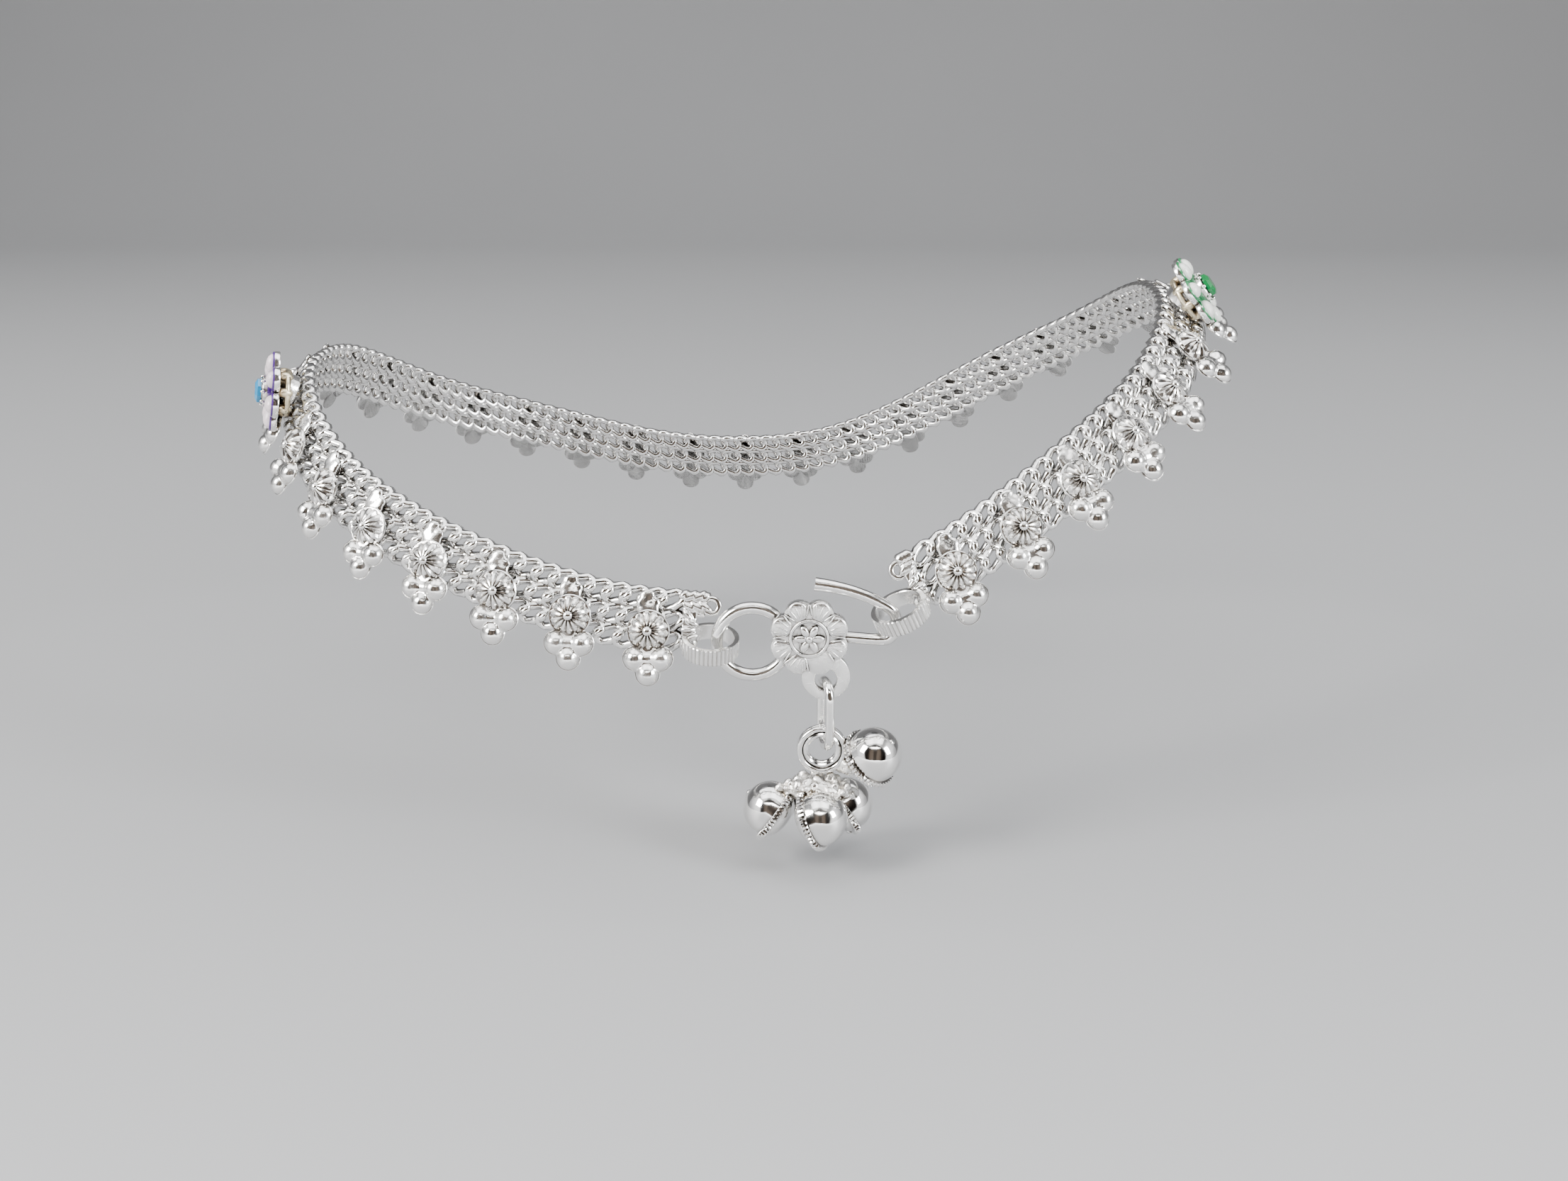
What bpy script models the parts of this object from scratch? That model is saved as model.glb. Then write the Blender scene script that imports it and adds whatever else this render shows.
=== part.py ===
# Silver payal anklet in the shape that it has when it is worn.
# Metres, +Z up, toes toward +X, clasp toward -Y, origin in the middle of the ankle opening.

import math

import bmesh
import bpy
import numpy as np
from mathutils import Matrix, Vector

MM = 0.001

# Loop round the ankle, measured along the middle surface of the chain band
LOOP_LENGTH = 94.0 * MM
LOOP_WIDTH = 68.7 * MM
LOOP_ROUNDNESS = 2.36
SADDLE_DEPTH = 25.3 * MM
# Degrees from the instep round to the heel, and the height there as a share of SADDLE_DEPTH
BAND_ROUTE = [
    (0, 1.0), (22.5, 0.849), (45, 0.579), (67.5, 0.219), (90, 0.0),
    (112.5, 0.127), (135, 0.330), (157.5, 0.555), (180, 0.683),
]
# How far the band's face leans up from the horizontal
FLARE_INSTEP = math.radians(58)
FLARE_SIDE = math.radians(19)
FLARE_HEEL = math.radians(30)

# Chain band
ROWS = 3
ROW_SPACING = 1.9 * MM
CHAIN_THICKNESS = 1.3 * MM
ROW_GROOVE = 0.26 * MM
BAND_STEP = 2.7 * MM

# Spacing of the rosettes, counted from the clasp
CLASP_OFFSET = 6.9 * MM
CLASP_SPAN = 28.8 * MM
UNIT_PITCH = 7.2 * MM
HEEL_JEWEL_PLACE = 7
INSTEP_JEWEL_PLACE = 6
BAND_PAST_ROSETTE = 2.6 * MM
SEAT_GAP = 0.35 * MM

# Rosette and its three-bead drop
ROSETTE_RADIUS = 2.0 * MM
ROSETTE_RIM = 0.35 * MM
ROSETTE_HEIGHT = 1.25 * MM
ROSETTE_BELOW_MIDDLE = 1.1 * MM
FLUTES = 8
FLUTE_DEPTH = 0.16 * MM
# Shoulder of a fluted button, as shares of its radius and height
SHOULDER_WIDTH = 0.5
SHOULDER_HEIGHT = 0.85
BEAD_RADIUS = 1.2 * MM
BEAD_HEIGHT = 1.15 * MM
BEAD_RIM = 0.3 * MM
BEAD_SIDES = 18
CREST_SHARE = 0.58
UPPER_BEADS_DOWN = 2.55 * MM
LOWER_BEAD_DOWN = 3.95 * MM
BEAD_HALF_SPREAD = 1.2 * MM
DROP_SINK = 0.06 * MM
# Share of the way from square to the band toward plumb that a drop hangs
DROP_LEAN_FRONT = 0.5
DROP_LEAN_BACK = 0.95

# Flower jewels
JEWEL_RADIUS = 4.2 * MM
JEWEL_ABOVE_MIDDLE = 1.0 * MM
JEWEL_TILT = math.radians(-20)
JEWEL_STAND = 1.5 * MM
JEWEL_POST_RADIUS = 1.9 * MM
JEWEL_PLATE = 0.6 * MM
PETALS = 7
POINTS_PER_PETAL = 4
PETAL_RADIUS = 1.15 * MM
PETAL_RING = 2.85 * MM
PETAL_HEIGHT = 0.7 * MM
PETAL_SHOULDER = 0.8
PETAL_SIDES = 8
PLATE_SCALLOP = 0.84 * MM
# How deep petals, collet and post stand in the flower plate, as shares of its thickness
PETAL_SINK = 0.3
COLLET_SINK = 0.45
POST_SINK = 0.6
COLLET_RADIUS = 1.55 * MM
COLLET_HEIGHT = 0.75 * MM
STONE_RADIUS = 1.3 * MM
STONE_GIRDLE = 0.35 * MM
STONE_CROWN = 0.6 * MM
STONE_TABLE = 0.62
STONE_FACETS = 8
COLLET_SIDES = 12
POST_SIDES = 10
# Bar from a jewel's post to its drop, as shares of BEAD_RADIUS and BEAD_HEIGHT
HANGER_HALF_WIDTH = 0.7
HANGER_LOW = 0.2
HANGER_HIGH = 0.7

# Cast end pieces
END_LENGTH_HEEL = 3.6 * MM
END_LENGTH_INSTEP = 2.5 * MM
END_THICKNESS = 1.1 * MM
END_WAVES = 3
WAVE_HEIGHT = 0.35 * MM
END_LOWER_EDGE = 0.3 * MM
END_EYE_RADIUS = 0.85 * MM
END_EYE_HOLE = 0.45 * MM
EYE_SIDES = 12
EYE_HOLE_SIDES = 8
POINTS_PER_WAVE = 4
LUG_LENGTH = 1.3 * MM
# Lug between plate and ring: where it starts in the plate, half height and half thickness
LUG_START = 0.35
LUG_HALF_HEIGHT = 0.45
LUG_HALF_THICKNESS = 0.42
EYE_BOSS_SHARE = 0.8
RING_ALONG_HEEL = 2.75 * MM
RING_ALONG_INSTEP = 3.3 * MM
RING_DOWN = 1.9 * MM
RING_INNER_RADIUS = 2.2 * MM
RING_WALL = 0.5 * MM
RING_HEIGHT = 1.6 * MM
RING_TILT = math.radians(-30)
RING_REEDS = 14
REED_DEPTH = 0.1 * MM

# Clasp hook, all in one upright plane
HOOK_WIRE_RADIUS = 0.57 * MM
LOOP_WIRE_RADIUS = 0.6 * MM
HOOK_OUTWARD = 0.9 * MM
LOOP_RADIUS = 3.3 * MM
LOOP_PLAY = 1.0 * MM
LOOP_ABOVE_RING = 0.28 * MM
PLAQUE_FROM_LOOP = 5.25 * MM
PLAQUE_ABOVE_LOOP = 0.74 * MM
PLAQUE_RADIUS = 3.75 * MM
PLAQUE_THICKNESS = 0.9 * MM
PLAQUE_PETALS = 8
PLAQUE_SCALLOP = 0.42 * MM
FLORET_RADIUS = 1.75 * MM
FLORET_HEIGHT = 0.35 * MM
FLORET_RIM = 0.17 * MM
SOLDER_DEPTH = 0.15 * MM
# The eye's plate stands a little inside both faces of the flower
EYE_INSET = 0.02 * MM
EYE_BOSS_SIDES = 20
PLAQUE_HOLE_SIDES = 14
WIRE_SIDES = 6
LOOP_STEPS = 22
BEND_STEPS = 8
TIP_STEPS = 6
HOOK_CLEARANCE = 0.5 * MM
HOOK_TIP_SIDEWAYS = 0.5 * MM
HOOK_TIP_ABOVE = 4.85 * MM
HOOK_BEND_SWEEP = math.radians(130)
HOOK_KNEE = 0.45

# Eye under the plaque, the link through it and the bell ring on the link
EYE_SIDEWAYS = 1.56 * MM
EYE_BELOW_PLAQUE = 4.08 * MM
EYE_HOLE_RADIUS = 1.05 * MM
EYE_RIM = 0.95 * MM
PIVOT_GAP = 0.3 * MM
LINK_WIRE_RADIUS = 0.45 * MM
LINK_INNER_LENGTH = 5.5 * MM
LINK_INNER_RADIUS = 1.1 * MM
BELL_RING_INNER = 1.25 * MM
BELL_RING_OUTER = 2.4 * MM
BELL_RING_STEPS = 16

# Bells: each row gives across, outward and down from the ring's centre as shares of BELL_RADIUS,
# then the turn and the rise in degrees of the way that the dome faces
BELL_RADIUS = 2.65 * MM
BELL_DOME = 3.4 * MM
BELL_BACK = 1.4 * MM
FLANGE_RADIUS = 3.0 * MM
FLANGE_THICKNESS = 0.5 * MM
BELL_LAYOUT = [
    ("left", -1.62, -0.10, 2.55, 167, 34),
    ("middle", -0.33, 0.75, 2.45, 349, 24),
    ("right", 0.68, -0.68, 2.68, 25, 30),
    ("upper", 1.68, 0.10, 0.33, 326, 43),
]
SOLDER_SPOT = (-0.20, -1.45)
SOLDER_SIZE = (1.60, 0.85, 0.68)
BRIDGE_SPOT = (0.98, -0.62)
BRIDGE_SIZE = (0.48, 0.30, 0.19)
BELL_SIDES = 14
# How far the cluster's ring sits to the heel side of the link, and the bell's outline as shares:
# of BELL_RADIUS for widths, of BELL_DOME for heights
RING_SIDEWAYS = 0.3 * MM
BACK_MOUTH = 0.45
BACK_EDGE = 0.93
DOME_OUTLINE = [(0.95, 0.42), (0.70, 0.78), (0.32, 0.96)]

SILVER = (0.93, 0.92, 0.89, 1.0)
SKY_BLUE = (0.28, 0.68, 0.86, 1.0)
GREEN = (0.10, 0.62, 0.30, 1.0)


def clear_scene():
    for item in list(bpy.data.objects):
        bpy.data.objects.remove(item, do_unlink=True)


def material(name, colour, roughness, metallic):
    finish = bpy.data.materials.new(name)
    finish.use_nodes = True
    shader = finish.node_tree.nodes["Principled BSDF"]
    shader.inputs["Base Color"].default_value = colour
    shader.inputs["Roughness"].default_value = roughness
    shader.inputs["Metallic"].default_value = metallic
    return finish


def silver(name):
    return material(name, SILVER, 0.12, 1.0)


def place(name, mesh, finish, matrix=Matrix()):
    item = bpy.data.objects.new(name, mesh)
    bpy.context.scene.collection.objects.link(item)
    item.matrix_world = matrix
    if not mesh.materials:
        mesh.materials.append(finish)
    return item


def mesh_from(bm, name):
    bmesh.ops.recalc_face_normals(bm, faces=bm.faces)
    mesh = bpy.data.meshes.new(name)
    bm.to_mesh(mesh)
    bm.free()
    mesh.shade_smooth()
    mesh.set_sharp_from_angle(angle=math.radians(35))
    return mesh


def fan(bm, ring, tip):
    point = bm.verts.new(tip)
    for i in range(len(ring)):
        bm.faces.new((ring[i], ring[(i + 1) % len(ring)], point))


def bridge_rings(bm, rings):
    # Quads between neighbouring rings of points
    rows = [[bm.verts.new(point) for point in ring] for ring in rings]
    for low, high in zip(rows, rows[1:]):
        for i in range(len(low)):
            j = (i + 1) % len(low)
            bm.faces.new((low[i], low[j], high[j], high[i]))
    return rows


def stacked(name, rings, tip=None):
    # Closed body of stacked rings: flat at both ends, or drawn to a tip at the last one
    bm = bmesh.new()
    rows = bridge_rings(bm, rings)
    bm.faces.new(rows[0][::-1])
    if tip is None:
        bm.faces.new(rows[-1])
    else:
        fan(bm, rows[-1], tip)
    return mesh_from(bm, name)


def looped(name, rings):
    # Closed body whose last ring of points joins the first
    bm = bmesh.new()
    rows = bridge_rings(bm, rings)
    for i in range(len(rows[0])):
        j = (i + 1) % len(rows[0])
        bm.faces.new((rows[-1][i], rows[-1][j], rows[0][j], rows[0][i]))
    return mesh_from(bm, name)


def ring_points(radius, height, count, centre=(0.0, 0.0), ridge=0.0):
    # Every second point steps in by ridge, which makes flutes, reeds and scallops
    points = []
    for i in range(count):
        angle = 2 * math.pi * i / count
        reach = radius - (ridge if i % 2 else 0.0)
        x = centre[0] + reach * math.cos(angle)
        y = centre[1] + reach * math.sin(angle)
        points.append(Vector((x, y, height)))
    return points


def turned(name, profile, count):
    # A profile of (radius, height) pairs turned about Z, closed by a point at the top
    rings = [ring_points(radius, height, count) for radius, height in profile[:-1]]
    return stacked(name, rings, tip=(0.0, 0.0, profile[-1][1]))


def tube(name, points, radius, sides, side_axis, closed=False):
    # A round wire along points that lie in one plane, square to side_axis
    count = len(points)
    rings = []
    for i, point in enumerate(points):
        before = points[(i - 1) % count] if closed or i else point
        after = points[(i + 1) % count] if closed or i < count - 1 else point
        along = (after - before).normalized()
        across = side_axis.cross(along).normalized()
        ring = []
        for k in range(sides):
            angle = 2 * math.pi * k / sides
            ring.append(point + radius * (math.cos(angle) * across + math.sin(angle) * side_axis))
        rings.append(ring)
    return looped(name, rings) if closed else stacked(name, rings)


def fuse(name, meshes, cutters=()):
    # Exact union of closed meshes, less the cutters, as one new mesh
    base = bpy.data.objects.new(name + "_fuse", meshes[0])
    bpy.context.scene.collection.objects.link(base)
    helpers = [base]
    operands = [(mesh, "UNION") for mesh in meshes[1:]]
    operands += [(mesh, "DIFFERENCE") for mesh in cutters]
    for mesh, operation in operands:
        helper = bpy.data.objects.new(mesh.name + "_fuse", mesh)
        bpy.context.scene.collection.objects.link(helper)
        helpers.append(helper)
        modifier = base.modifiers.new(operation.lower(), "BOOLEAN")
        modifier.operation = operation
        modifier.object = helper
    graph = bpy.context.evaluated_depsgraph_get()
    graph.update()
    fused = bpy.data.meshes.new_from_object(base.evaluated_get(graph))
    fused.name = name
    fused.materials.clear()
    for helper in helpers:
        bpy.data.objects.remove(helper, do_unlink=True)
    return fused


def moved(mesh, matrix):
    mesh.transform(matrix)
    return mesh


class Route:
    """The band's middle line, and the band's own directions at any length along it."""

    samples = 1440

    def __init__(self):
        angles = np.radians([row[0] for row in BAND_ROUTE])
        shares = np.array([row[1] for row in BAND_ROUTE])
        waves = np.cos(np.outer(angles, np.arange(len(BAND_ROUTE))))
        self.weights = np.linalg.solve(waves, shares)
        self.rest_share = (shares[0] + shares[-1]) / 2
        self.points = [self.point(2 * math.pi * i / self.samples) for i in range(self.samples)]
        self.reach = [0.0]
        for i in range(self.samples):
            step = self.points[(i + 1) % self.samples] - self.points[i]
            self.reach.append(self.reach[-1] + step.length)
        self.length = self.reach[-1]

    def point(self, angle):
        cosine, sine = math.cos(angle), math.sin(angle)
        power = 2 / LOOP_ROUNDNESS
        x = LOOP_LENGTH / 2 * math.copysign(abs(cosine) ** power, cosine)
        y = -LOOP_WIDTH / 2 * math.copysign(abs(sine) ** power, sine)
        share = sum(w * math.cos(k * angle) for k, w in enumerate(self.weights))
        return Vector((x, y, SADDLE_DEPTH * (share - self.rest_share)))

    def side_length(self):
        # Length along the route at the lowest point, beside the clasp
        return self.reach[self.samples // 4]

    def frame(self, length):
        # Columns: along the band, down its width, out of its face
        place_on = length % self.length
        i = int(np.searchsorted(self.reach, place_on, side="right")) - 1
        i = min(i, self.samples - 1)
        share = (place_on - self.reach[i]) / (self.reach[i + 1] - self.reach[i])
        centre = self.points[i].lerp(self.points[(i + 1) % self.samples], share)
        ahead = self.points[(i + 3) % self.samples]
        behind = self.points[(i - 2) % self.samples]
        along = (ahead - behind).normalized()
        cosine = centre.x / (LOOP_LENGTH / 2)
        flare_end = FLARE_INSTEP if cosine > 0 else FLARE_HEEL
        flare = FLARE_SIDE + (flare_end - FLARE_SIDE) * min(1.0, abs(cosine)) ** LOOP_ROUNDNESS
        level_out = Vector((0, 0, 1)).cross(along).normalized()
        up = along.cross(level_out).normalized()
        face = level_out * math.cos(flare) + up * math.sin(flare)
        down = face.cross(along)
        frame = Matrix((along, down, face)).transposed().to_4x4()
        frame.translation = centre
        return frame


def shift(x=0.0, y=0.0, z=0.0):
    return Matrix.Translation((x, y, z))


def turn(angle, axis):
    return Matrix.Rotation(angle, 4, axis)


def plumb_turn(frame, share):
    # Turn about the face's own direction that swings "down the band" toward plumb
    along, down = frame.col[0].to_3d(), frame.col[1].to_3d()
    plumb = Vector((0, 0, -1))
    return share * math.atan2(-plumb.dot(along), plumb.dot(down))


def band_half_thickness():
    return CHAIN_THICKNESS / 2


def face_level():
    # Height above the band's middle surface where a rosette's back sits
    return band_half_thickness() + SEAT_GAP


def build_band(route, start, end):
    # One crest on each row and one groove between rows, on both faces
    crest, groove = band_half_thickness(), band_half_thickness() - ROW_GROOVE
    half = ROWS * ROW_SPACING / 2
    outer = []
    for row in range(ROWS):
        middle = (row - (ROWS - 1) / 2) * ROW_SPACING
        outer.append((middle, crest))
        if row < ROWS - 1:
            outer.append((middle + ROW_SPACING / 2, groove))
    inner = [(down, -height) for down, height in reversed(outer)]
    outline = [(-half, 0.0)] + outer + [(half, 0.0)] + inner
    steps = round((end - start) / BAND_STEP)
    rings = []
    for i in range(steps + 1):
        frame = route.frame(start + (end - start) * i / steps)
        rings.append([frame @ Vector((0, down, height)) for down, height in outline])
    place("chain_band", stacked("chain_band", rings), silver("band_silver"))


def bead_centres():
    return [
        (-BEAD_HALF_SPREAD, UPPER_BEADS_DOWN),
        (BEAD_HALF_SPREAD, UPPER_BEADS_DOWN),
        (0.0, LOWER_BEAD_DOWN),
    ]


def bead_edge(middle, angle):
    # How far the outline of the three beads lies from their middle in one direction
    reach = 0.0
    for x, y in bead_centres():
        along = x * math.cos(angle) + (y - middle) * math.sin(angle)
        square = BEAD_RADIUS ** 2 - (x ** 2 + (y - middle) ** 2 - along ** 2)
        if square > 0:
            reach = max(reach, along + math.sqrt(square))
    return reach


def bead_surface(x, y):
    # Domes stand on a thin plate: the highest of the three at this place
    height = BEAD_RIM
    for centre_x, centre_y in bead_centres():
        share = math.hypot(x - centre_x, y - centre_y) / BEAD_RADIUS
        if share < 1:
            height = max(height, BEAD_HEIGHT * math.sqrt(1 - share ** 2))
    return height


def drop_mesh():
    # Rings round the middle of the beads: back edge, front edge, crest of the domes, middle
    middle = (2 * UPPER_BEADS_DOWN + LOWER_BEAD_DOWN) / 3
    rings = []
    for share, lift in ((1.0, -DROP_SINK), (1.0, None), (CREST_SHARE, None)):
        ring = []
        for i in range(BEAD_SIDES):
            angle = 2 * math.pi * (i + 0.5) / BEAD_SIDES
            reach = share * bead_edge(middle, angle)
            x, y = reach * math.cos(angle), middle + reach * math.sin(angle)
            ring.append(Vector((x, y, bead_surface(x, y) if lift is None else lift)))
        rings.append(ring)
    return stacked("drop", rings, tip=(0.0, middle, bead_surface(0.0, middle)))


def fluted_button(name, radius, rim, height, flutes):
    count = 2 * flutes
    rings = [
        ring_points(radius, 0.0, count),
        ring_points(radius, rim, count, ridge=FLUTE_DEPTH),
        ring_points(SHOULDER_WIDTH * radius, SHOULDER_HEIGHT * height, count, ridge=FLUTE_DEPTH),
    ]
    return stacked(name, rings, tip=(0.0, 0.0, height))


def rosette_mesh():
    button = fluted_button("button", ROSETTE_RADIUS, ROSETTE_RIM, ROSETTE_HEIGHT, FLUTES)
    return fuse("rosette_drop", [button, drop_mesh()])


def unit_frames(route):
    # Where each rosette or jewel stands, from the heel side of the clasp right round
    middle = route.side_length() - CLASP_OFFSET
    first = middle + CLASP_SPAN / 2
    free = route.length - CLASP_SPAN
    count = round(free / UNIT_PITCH) + 1
    return [first + free * i / (count - 1) for i in range(count)]


def unit_lean(frame):
    share = DROP_LEAN_FRONT if frame.translation.x > 0 else DROP_LEAN_BACK
    return turn(plumb_turn(frame, share), "Z")


def build_units(route, lengths):
    shared = rosette_mesh()
    finish = silver("rosette_silver")
    number = 0
    instep_place = len(lengths) - 1 - INSTEP_JEWEL_PLACE
    for i, length in enumerate(lengths):
        frame = route.frame(length)
        if i == HEEL_JEWEL_PLACE:
            build_jewel("jewel_heel", frame, SKY_BLUE)
        elif i == instep_place:
            build_jewel("jewel_instep", frame, GREEN)
        else:
            number += 1
            seat = frame @ shift(y=ROSETTE_BELOW_MIDDLE, z=face_level()) @ unit_lean(frame)
            place(f"rosette_drop_{number:02d}", shared, finish, seat)


def petal_outline(height, radius, petals, scallop):
    # Round petals: the edge swells to radius in the middle of each petal
    points = []
    count = petals * POINTS_PER_PETAL
    for i in range(count):
        angle = 2 * math.pi * i / count
        reach = radius - scallop * (1 - abs(math.sin(petals * angle / 2)))
        points.append(Vector((reach * math.cos(angle), reach * math.sin(angle), height)))
    return points


def jewel_head_pieces():
    # Flower plate, its petals and the collet, each sunk a little differently into the plate
    top = JEWEL_STAND + JEWEL_PLATE
    pieces = [stacked("plate", [petal_outline(JEWEL_STAND, JEWEL_RADIUS, PETALS, PLATE_SCALLOP),
                                petal_outline(top, JEWEL_RADIUS, PETALS, PLATE_SCALLOP)])]
    for i in range(PETALS):
        angle = 2 * math.pi * (i + 0.5) / PETALS
        centre = (PETAL_RING * math.cos(angle), PETAL_RING * math.sin(angle))
        pieces.append(stacked(f"petal_{i}", [
            ring_points(PETAL_RADIUS, top - PETAL_SINK * JEWEL_PLATE, PETAL_SIDES, centre),
            ring_points(PETAL_SHOULDER * PETAL_RADIUS, top + PETAL_SHOULDER * PETAL_HEIGHT,
                        PETAL_SIDES, centre),
        ], tip=(*centre, top + PETAL_HEIGHT)))
    pieces.append(disc_mesh("collet", COLLET_RADIUS, top - COLLET_SINK * JEWEL_PLATE,
                            top + COLLET_HEIGHT, (0.0, 0.0), COLLET_SIDES))
    return pieces


def jewel_post_mesh(tilt):
    # Level foot on the chain, tilted head inside the flower plate
    height = JEWEL_STAND + POST_SINK * JEWEL_PLATE
    foot = ring_points(JEWEL_POST_RADIUS, 0.0, POST_SIDES)
    head = [tilt @ point for point in ring_points(JEWEL_POST_RADIUS, height, POST_SIDES)]
    return stacked("post", [foot, head])


def jewel_hanger_mesh(below):
    # Short bar from the post's foot down to the drop's beads
    half = HANGER_HALF_WIDTH * BEAD_RADIUS
    end = below @ Vector((0, UPPER_BEADS_DOWN, 0))
    rings = []
    for height in (HANGER_LOW * BEAD_HEIGHT, HANGER_HIGH * BEAD_HEIGHT):
        rings.append([
            Vector((-half, 0, height)), Vector((half, 0, height)),
            Vector((end.x + half, end.y, end.z + height)), Vector((end.x - half, end.y, end.z + height)),
        ])
    return stacked("hanger", rings)


def build_jewel(name, frame, colour):
    seat = frame @ shift(y=-JEWEL_ABOVE_MIDDLE, z=face_level())
    tilt = turn(JEWEL_TILT, "X")
    below = frame @ shift(y=ROSETTE_BELOW_MIDDLE, z=face_level()) @ unit_lean(frame)
    into_seat = seat.inverted() @ below
    pieces = [moved(mesh, tilt) for mesh in jewel_head_pieces()]
    pieces += [jewel_post_mesh(tilt), jewel_hanger_mesh(into_seat)]
    pieces.append(moved(drop_mesh(), into_seat))
    setting = fuse(name + "_setting", pieces)
    place(name + "_setting", setting, silver(name + "_silver"), seat)
    top = JEWEL_STAND + JEWEL_PLATE + COLLET_HEIGHT + SEAT_GAP
    stone = stacked(name + "_stone", [
        ring_points(STONE_RADIUS, top, STONE_FACETS),
        ring_points(STONE_RADIUS, top + STONE_GIRDLE, STONE_FACETS),
        ring_points(STONE_RADIUS * STONE_TABLE, top + STONE_CROWN, STONE_FACETS),
    ])
    place(name + "_stone", stone, material(name + "_glass", colour, 0.08, 0.0), seat @ tilt)


def end_outline(side, length, height):
    # Wavy top edge out to the eye, then back along the lower edge and down the short lug
    half = ROWS * ROW_SPACING / 2
    points = []
    run = length - END_EYE_RADIUS
    steps = END_WAVES * POINTS_PER_WAVE
    for i in range(steps + 1):
        along = run * i / steps
        wave = WAVE_HEIGHT * abs(math.sin(math.pi * END_WAVES * i / steps))
        points.append((along, -half + (half - eye_down() - END_EYE_RADIUS) * i / steps - wave))
    points.append((run, -eye_down() + END_EYE_RADIUS))
    points.append((LUG_LENGTH, -END_LOWER_EDGE))
    points.append((LUG_LENGTH, half))
    points.append((0.0, half))
    return [Vector((side * along, down, height)) for along, down in points]


def eye_down():
    # The eye at the top corner stands this far above the band's middle line
    return ROWS * ROW_SPACING / 2 - END_EYE_RADIUS - WAVE_HEIGHT


def disc_mesh(name, radius, low, high, centre, count):
    return stacked(name, [ring_points(radius, low, count, centre),
                          ring_points(radius, high, count, centre)])


def ring_place(route, start, side, ring_along):
    # Frame of the reeded ring, with its centre in the hook's upright plane
    frame = route.frame(start)
    centre = frame @ Vector((side * (SEAT_GAP + ring_along), RING_DOWN, 0))
    face = frame.col[2].to_3d()
    centre += face * ((hook_plane(route) - centre.y) / face.y)
    spot = frame.copy()
    spot.translation = centre
    return spot @ turn(RING_TILT, "X")


def hook_plane(route):
    middle = route.frame(route.side_length() - CLASP_OFFSET)
    return (middle @ Vector((0, RING_DOWN, 0))).y - HOOK_OUTWARD / 2


def ring_mesh(name):
    # The ring's axis runs down the band, so the tube is turned from Z to Y
    count = 2 * RING_REEDS
    outer = RING_INNER_RADIUS + RING_WALL
    half = RING_HEIGHT / 2
    mesh = looped(name, [
        ring_points(outer, -half, count, ridge=REED_DEPTH),
        ring_points(outer, half, count, ridge=REED_DEPTH),
        ring_points(RING_INNER_RADIUS, half, count),
        ring_points(RING_INNER_RADIUS, -half, count),
    ])
    return moved(mesh, turn(math.pi / 2, "X"))


def build_end(name, route, start, side, length, ring_along):
    frame = route.frame(start)
    half = END_THICKNESS / 2
    inset = shift(x=side * SEAT_GAP)
    plate = stacked(name + "_plate", [end_outline(side, length, -half), end_outline(side, length, half)])
    eye = (side * (length - END_EYE_RADIUS), -eye_down())
    rim = half * EYE_BOSS_SHARE
    boss = disc_mesh(name + "_boss", END_EYE_RADIUS, -rim, rim, eye, EYE_SIDES)
    hole = disc_mesh(name + "_hole", END_EYE_HOLE, -END_THICKNESS, END_THICKNESS, eye, EYE_HOLE_SIDES)
    ring_frame = ring_place(route, start, side, ring_along)
    local = (frame @ inset).inverted()
    ring = moved(ring_mesh(name + "_ring"), local @ ring_frame)
    spot = (local @ ring_frame).translation
    lug = lug_mesh(name + "_lug", side, spot)
    whole = fuse(name, [plate, boss, lug, ring], [hole])
    place(name, whole, silver(name + "_silver"), frame @ inset)
    return ring_frame


def lug_mesh(name, side, spot):
    # Block from the plate's lower corner out to the ring's wall
    wall = spot.x - side * (RING_INNER_RADIUS + RING_WALL / 2)
    half_high = RING_HEIGHT * LUG_HALF_HEIGHT
    thick = END_THICKNESS * LUG_HALF_THICKNESS
    rings = []
    for along, lift in ((side * LUG_LENGTH * LUG_START, 0.0), (wall, spot.z)):
        rings.append([
            Vector((along, spot.y - half_high, lift - thick)),
            Vector((along, spot.y + half_high, lift - thick)),
            Vector((along, spot.y + half_high, lift + thick)),
            Vector((along, spot.y - half_high, lift + thick)),
        ])
    return stacked(name, rings)


def arc_points(centre, radius, start, sweep, steps):
    # Points in the XZ plane, angles counted from +X toward +Z
    points = []
    for i in range(steps + 1):
        angle = start + sweep * i / steps
        points.append(centre + Vector((radius * math.cos(angle), 0, radius * math.sin(angle))))
    return points


def hook_points(plaque, ring_frame):
    # From behind the plaque, under the ring's wall, up through the ring and back to the free tip
    toward_clasp = ring_frame.col[0].to_3d()
    toward_clasp.y = 0
    toward_clasp.normalize()
    wall = ring_frame.translation + toward_clasp * (RING_INNER_RADIUS + RING_WALL / 2)
    radius = RING_HEIGHT / 2 + HOOK_CLEARANCE + HOOK_WIRE_RADIUS
    far_side = math.atan2(-toward_clasp.z, -toward_clasp.x)
    bend = arc_points(wall, radius, far_side - math.pi / 2, HOOK_BEND_SWEEP, BEND_STEPS)
    lead_in = plaque.lerp(bend[0], HOOK_KNEE)
    tip = plaque + Vector((HOOK_TIP_SIDEWAYS, 0, HOOK_TIP_ABOVE))
    return [plaque, lead_in] + bend + back_to_tip(bend[-1], bend[-2], tip)


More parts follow.
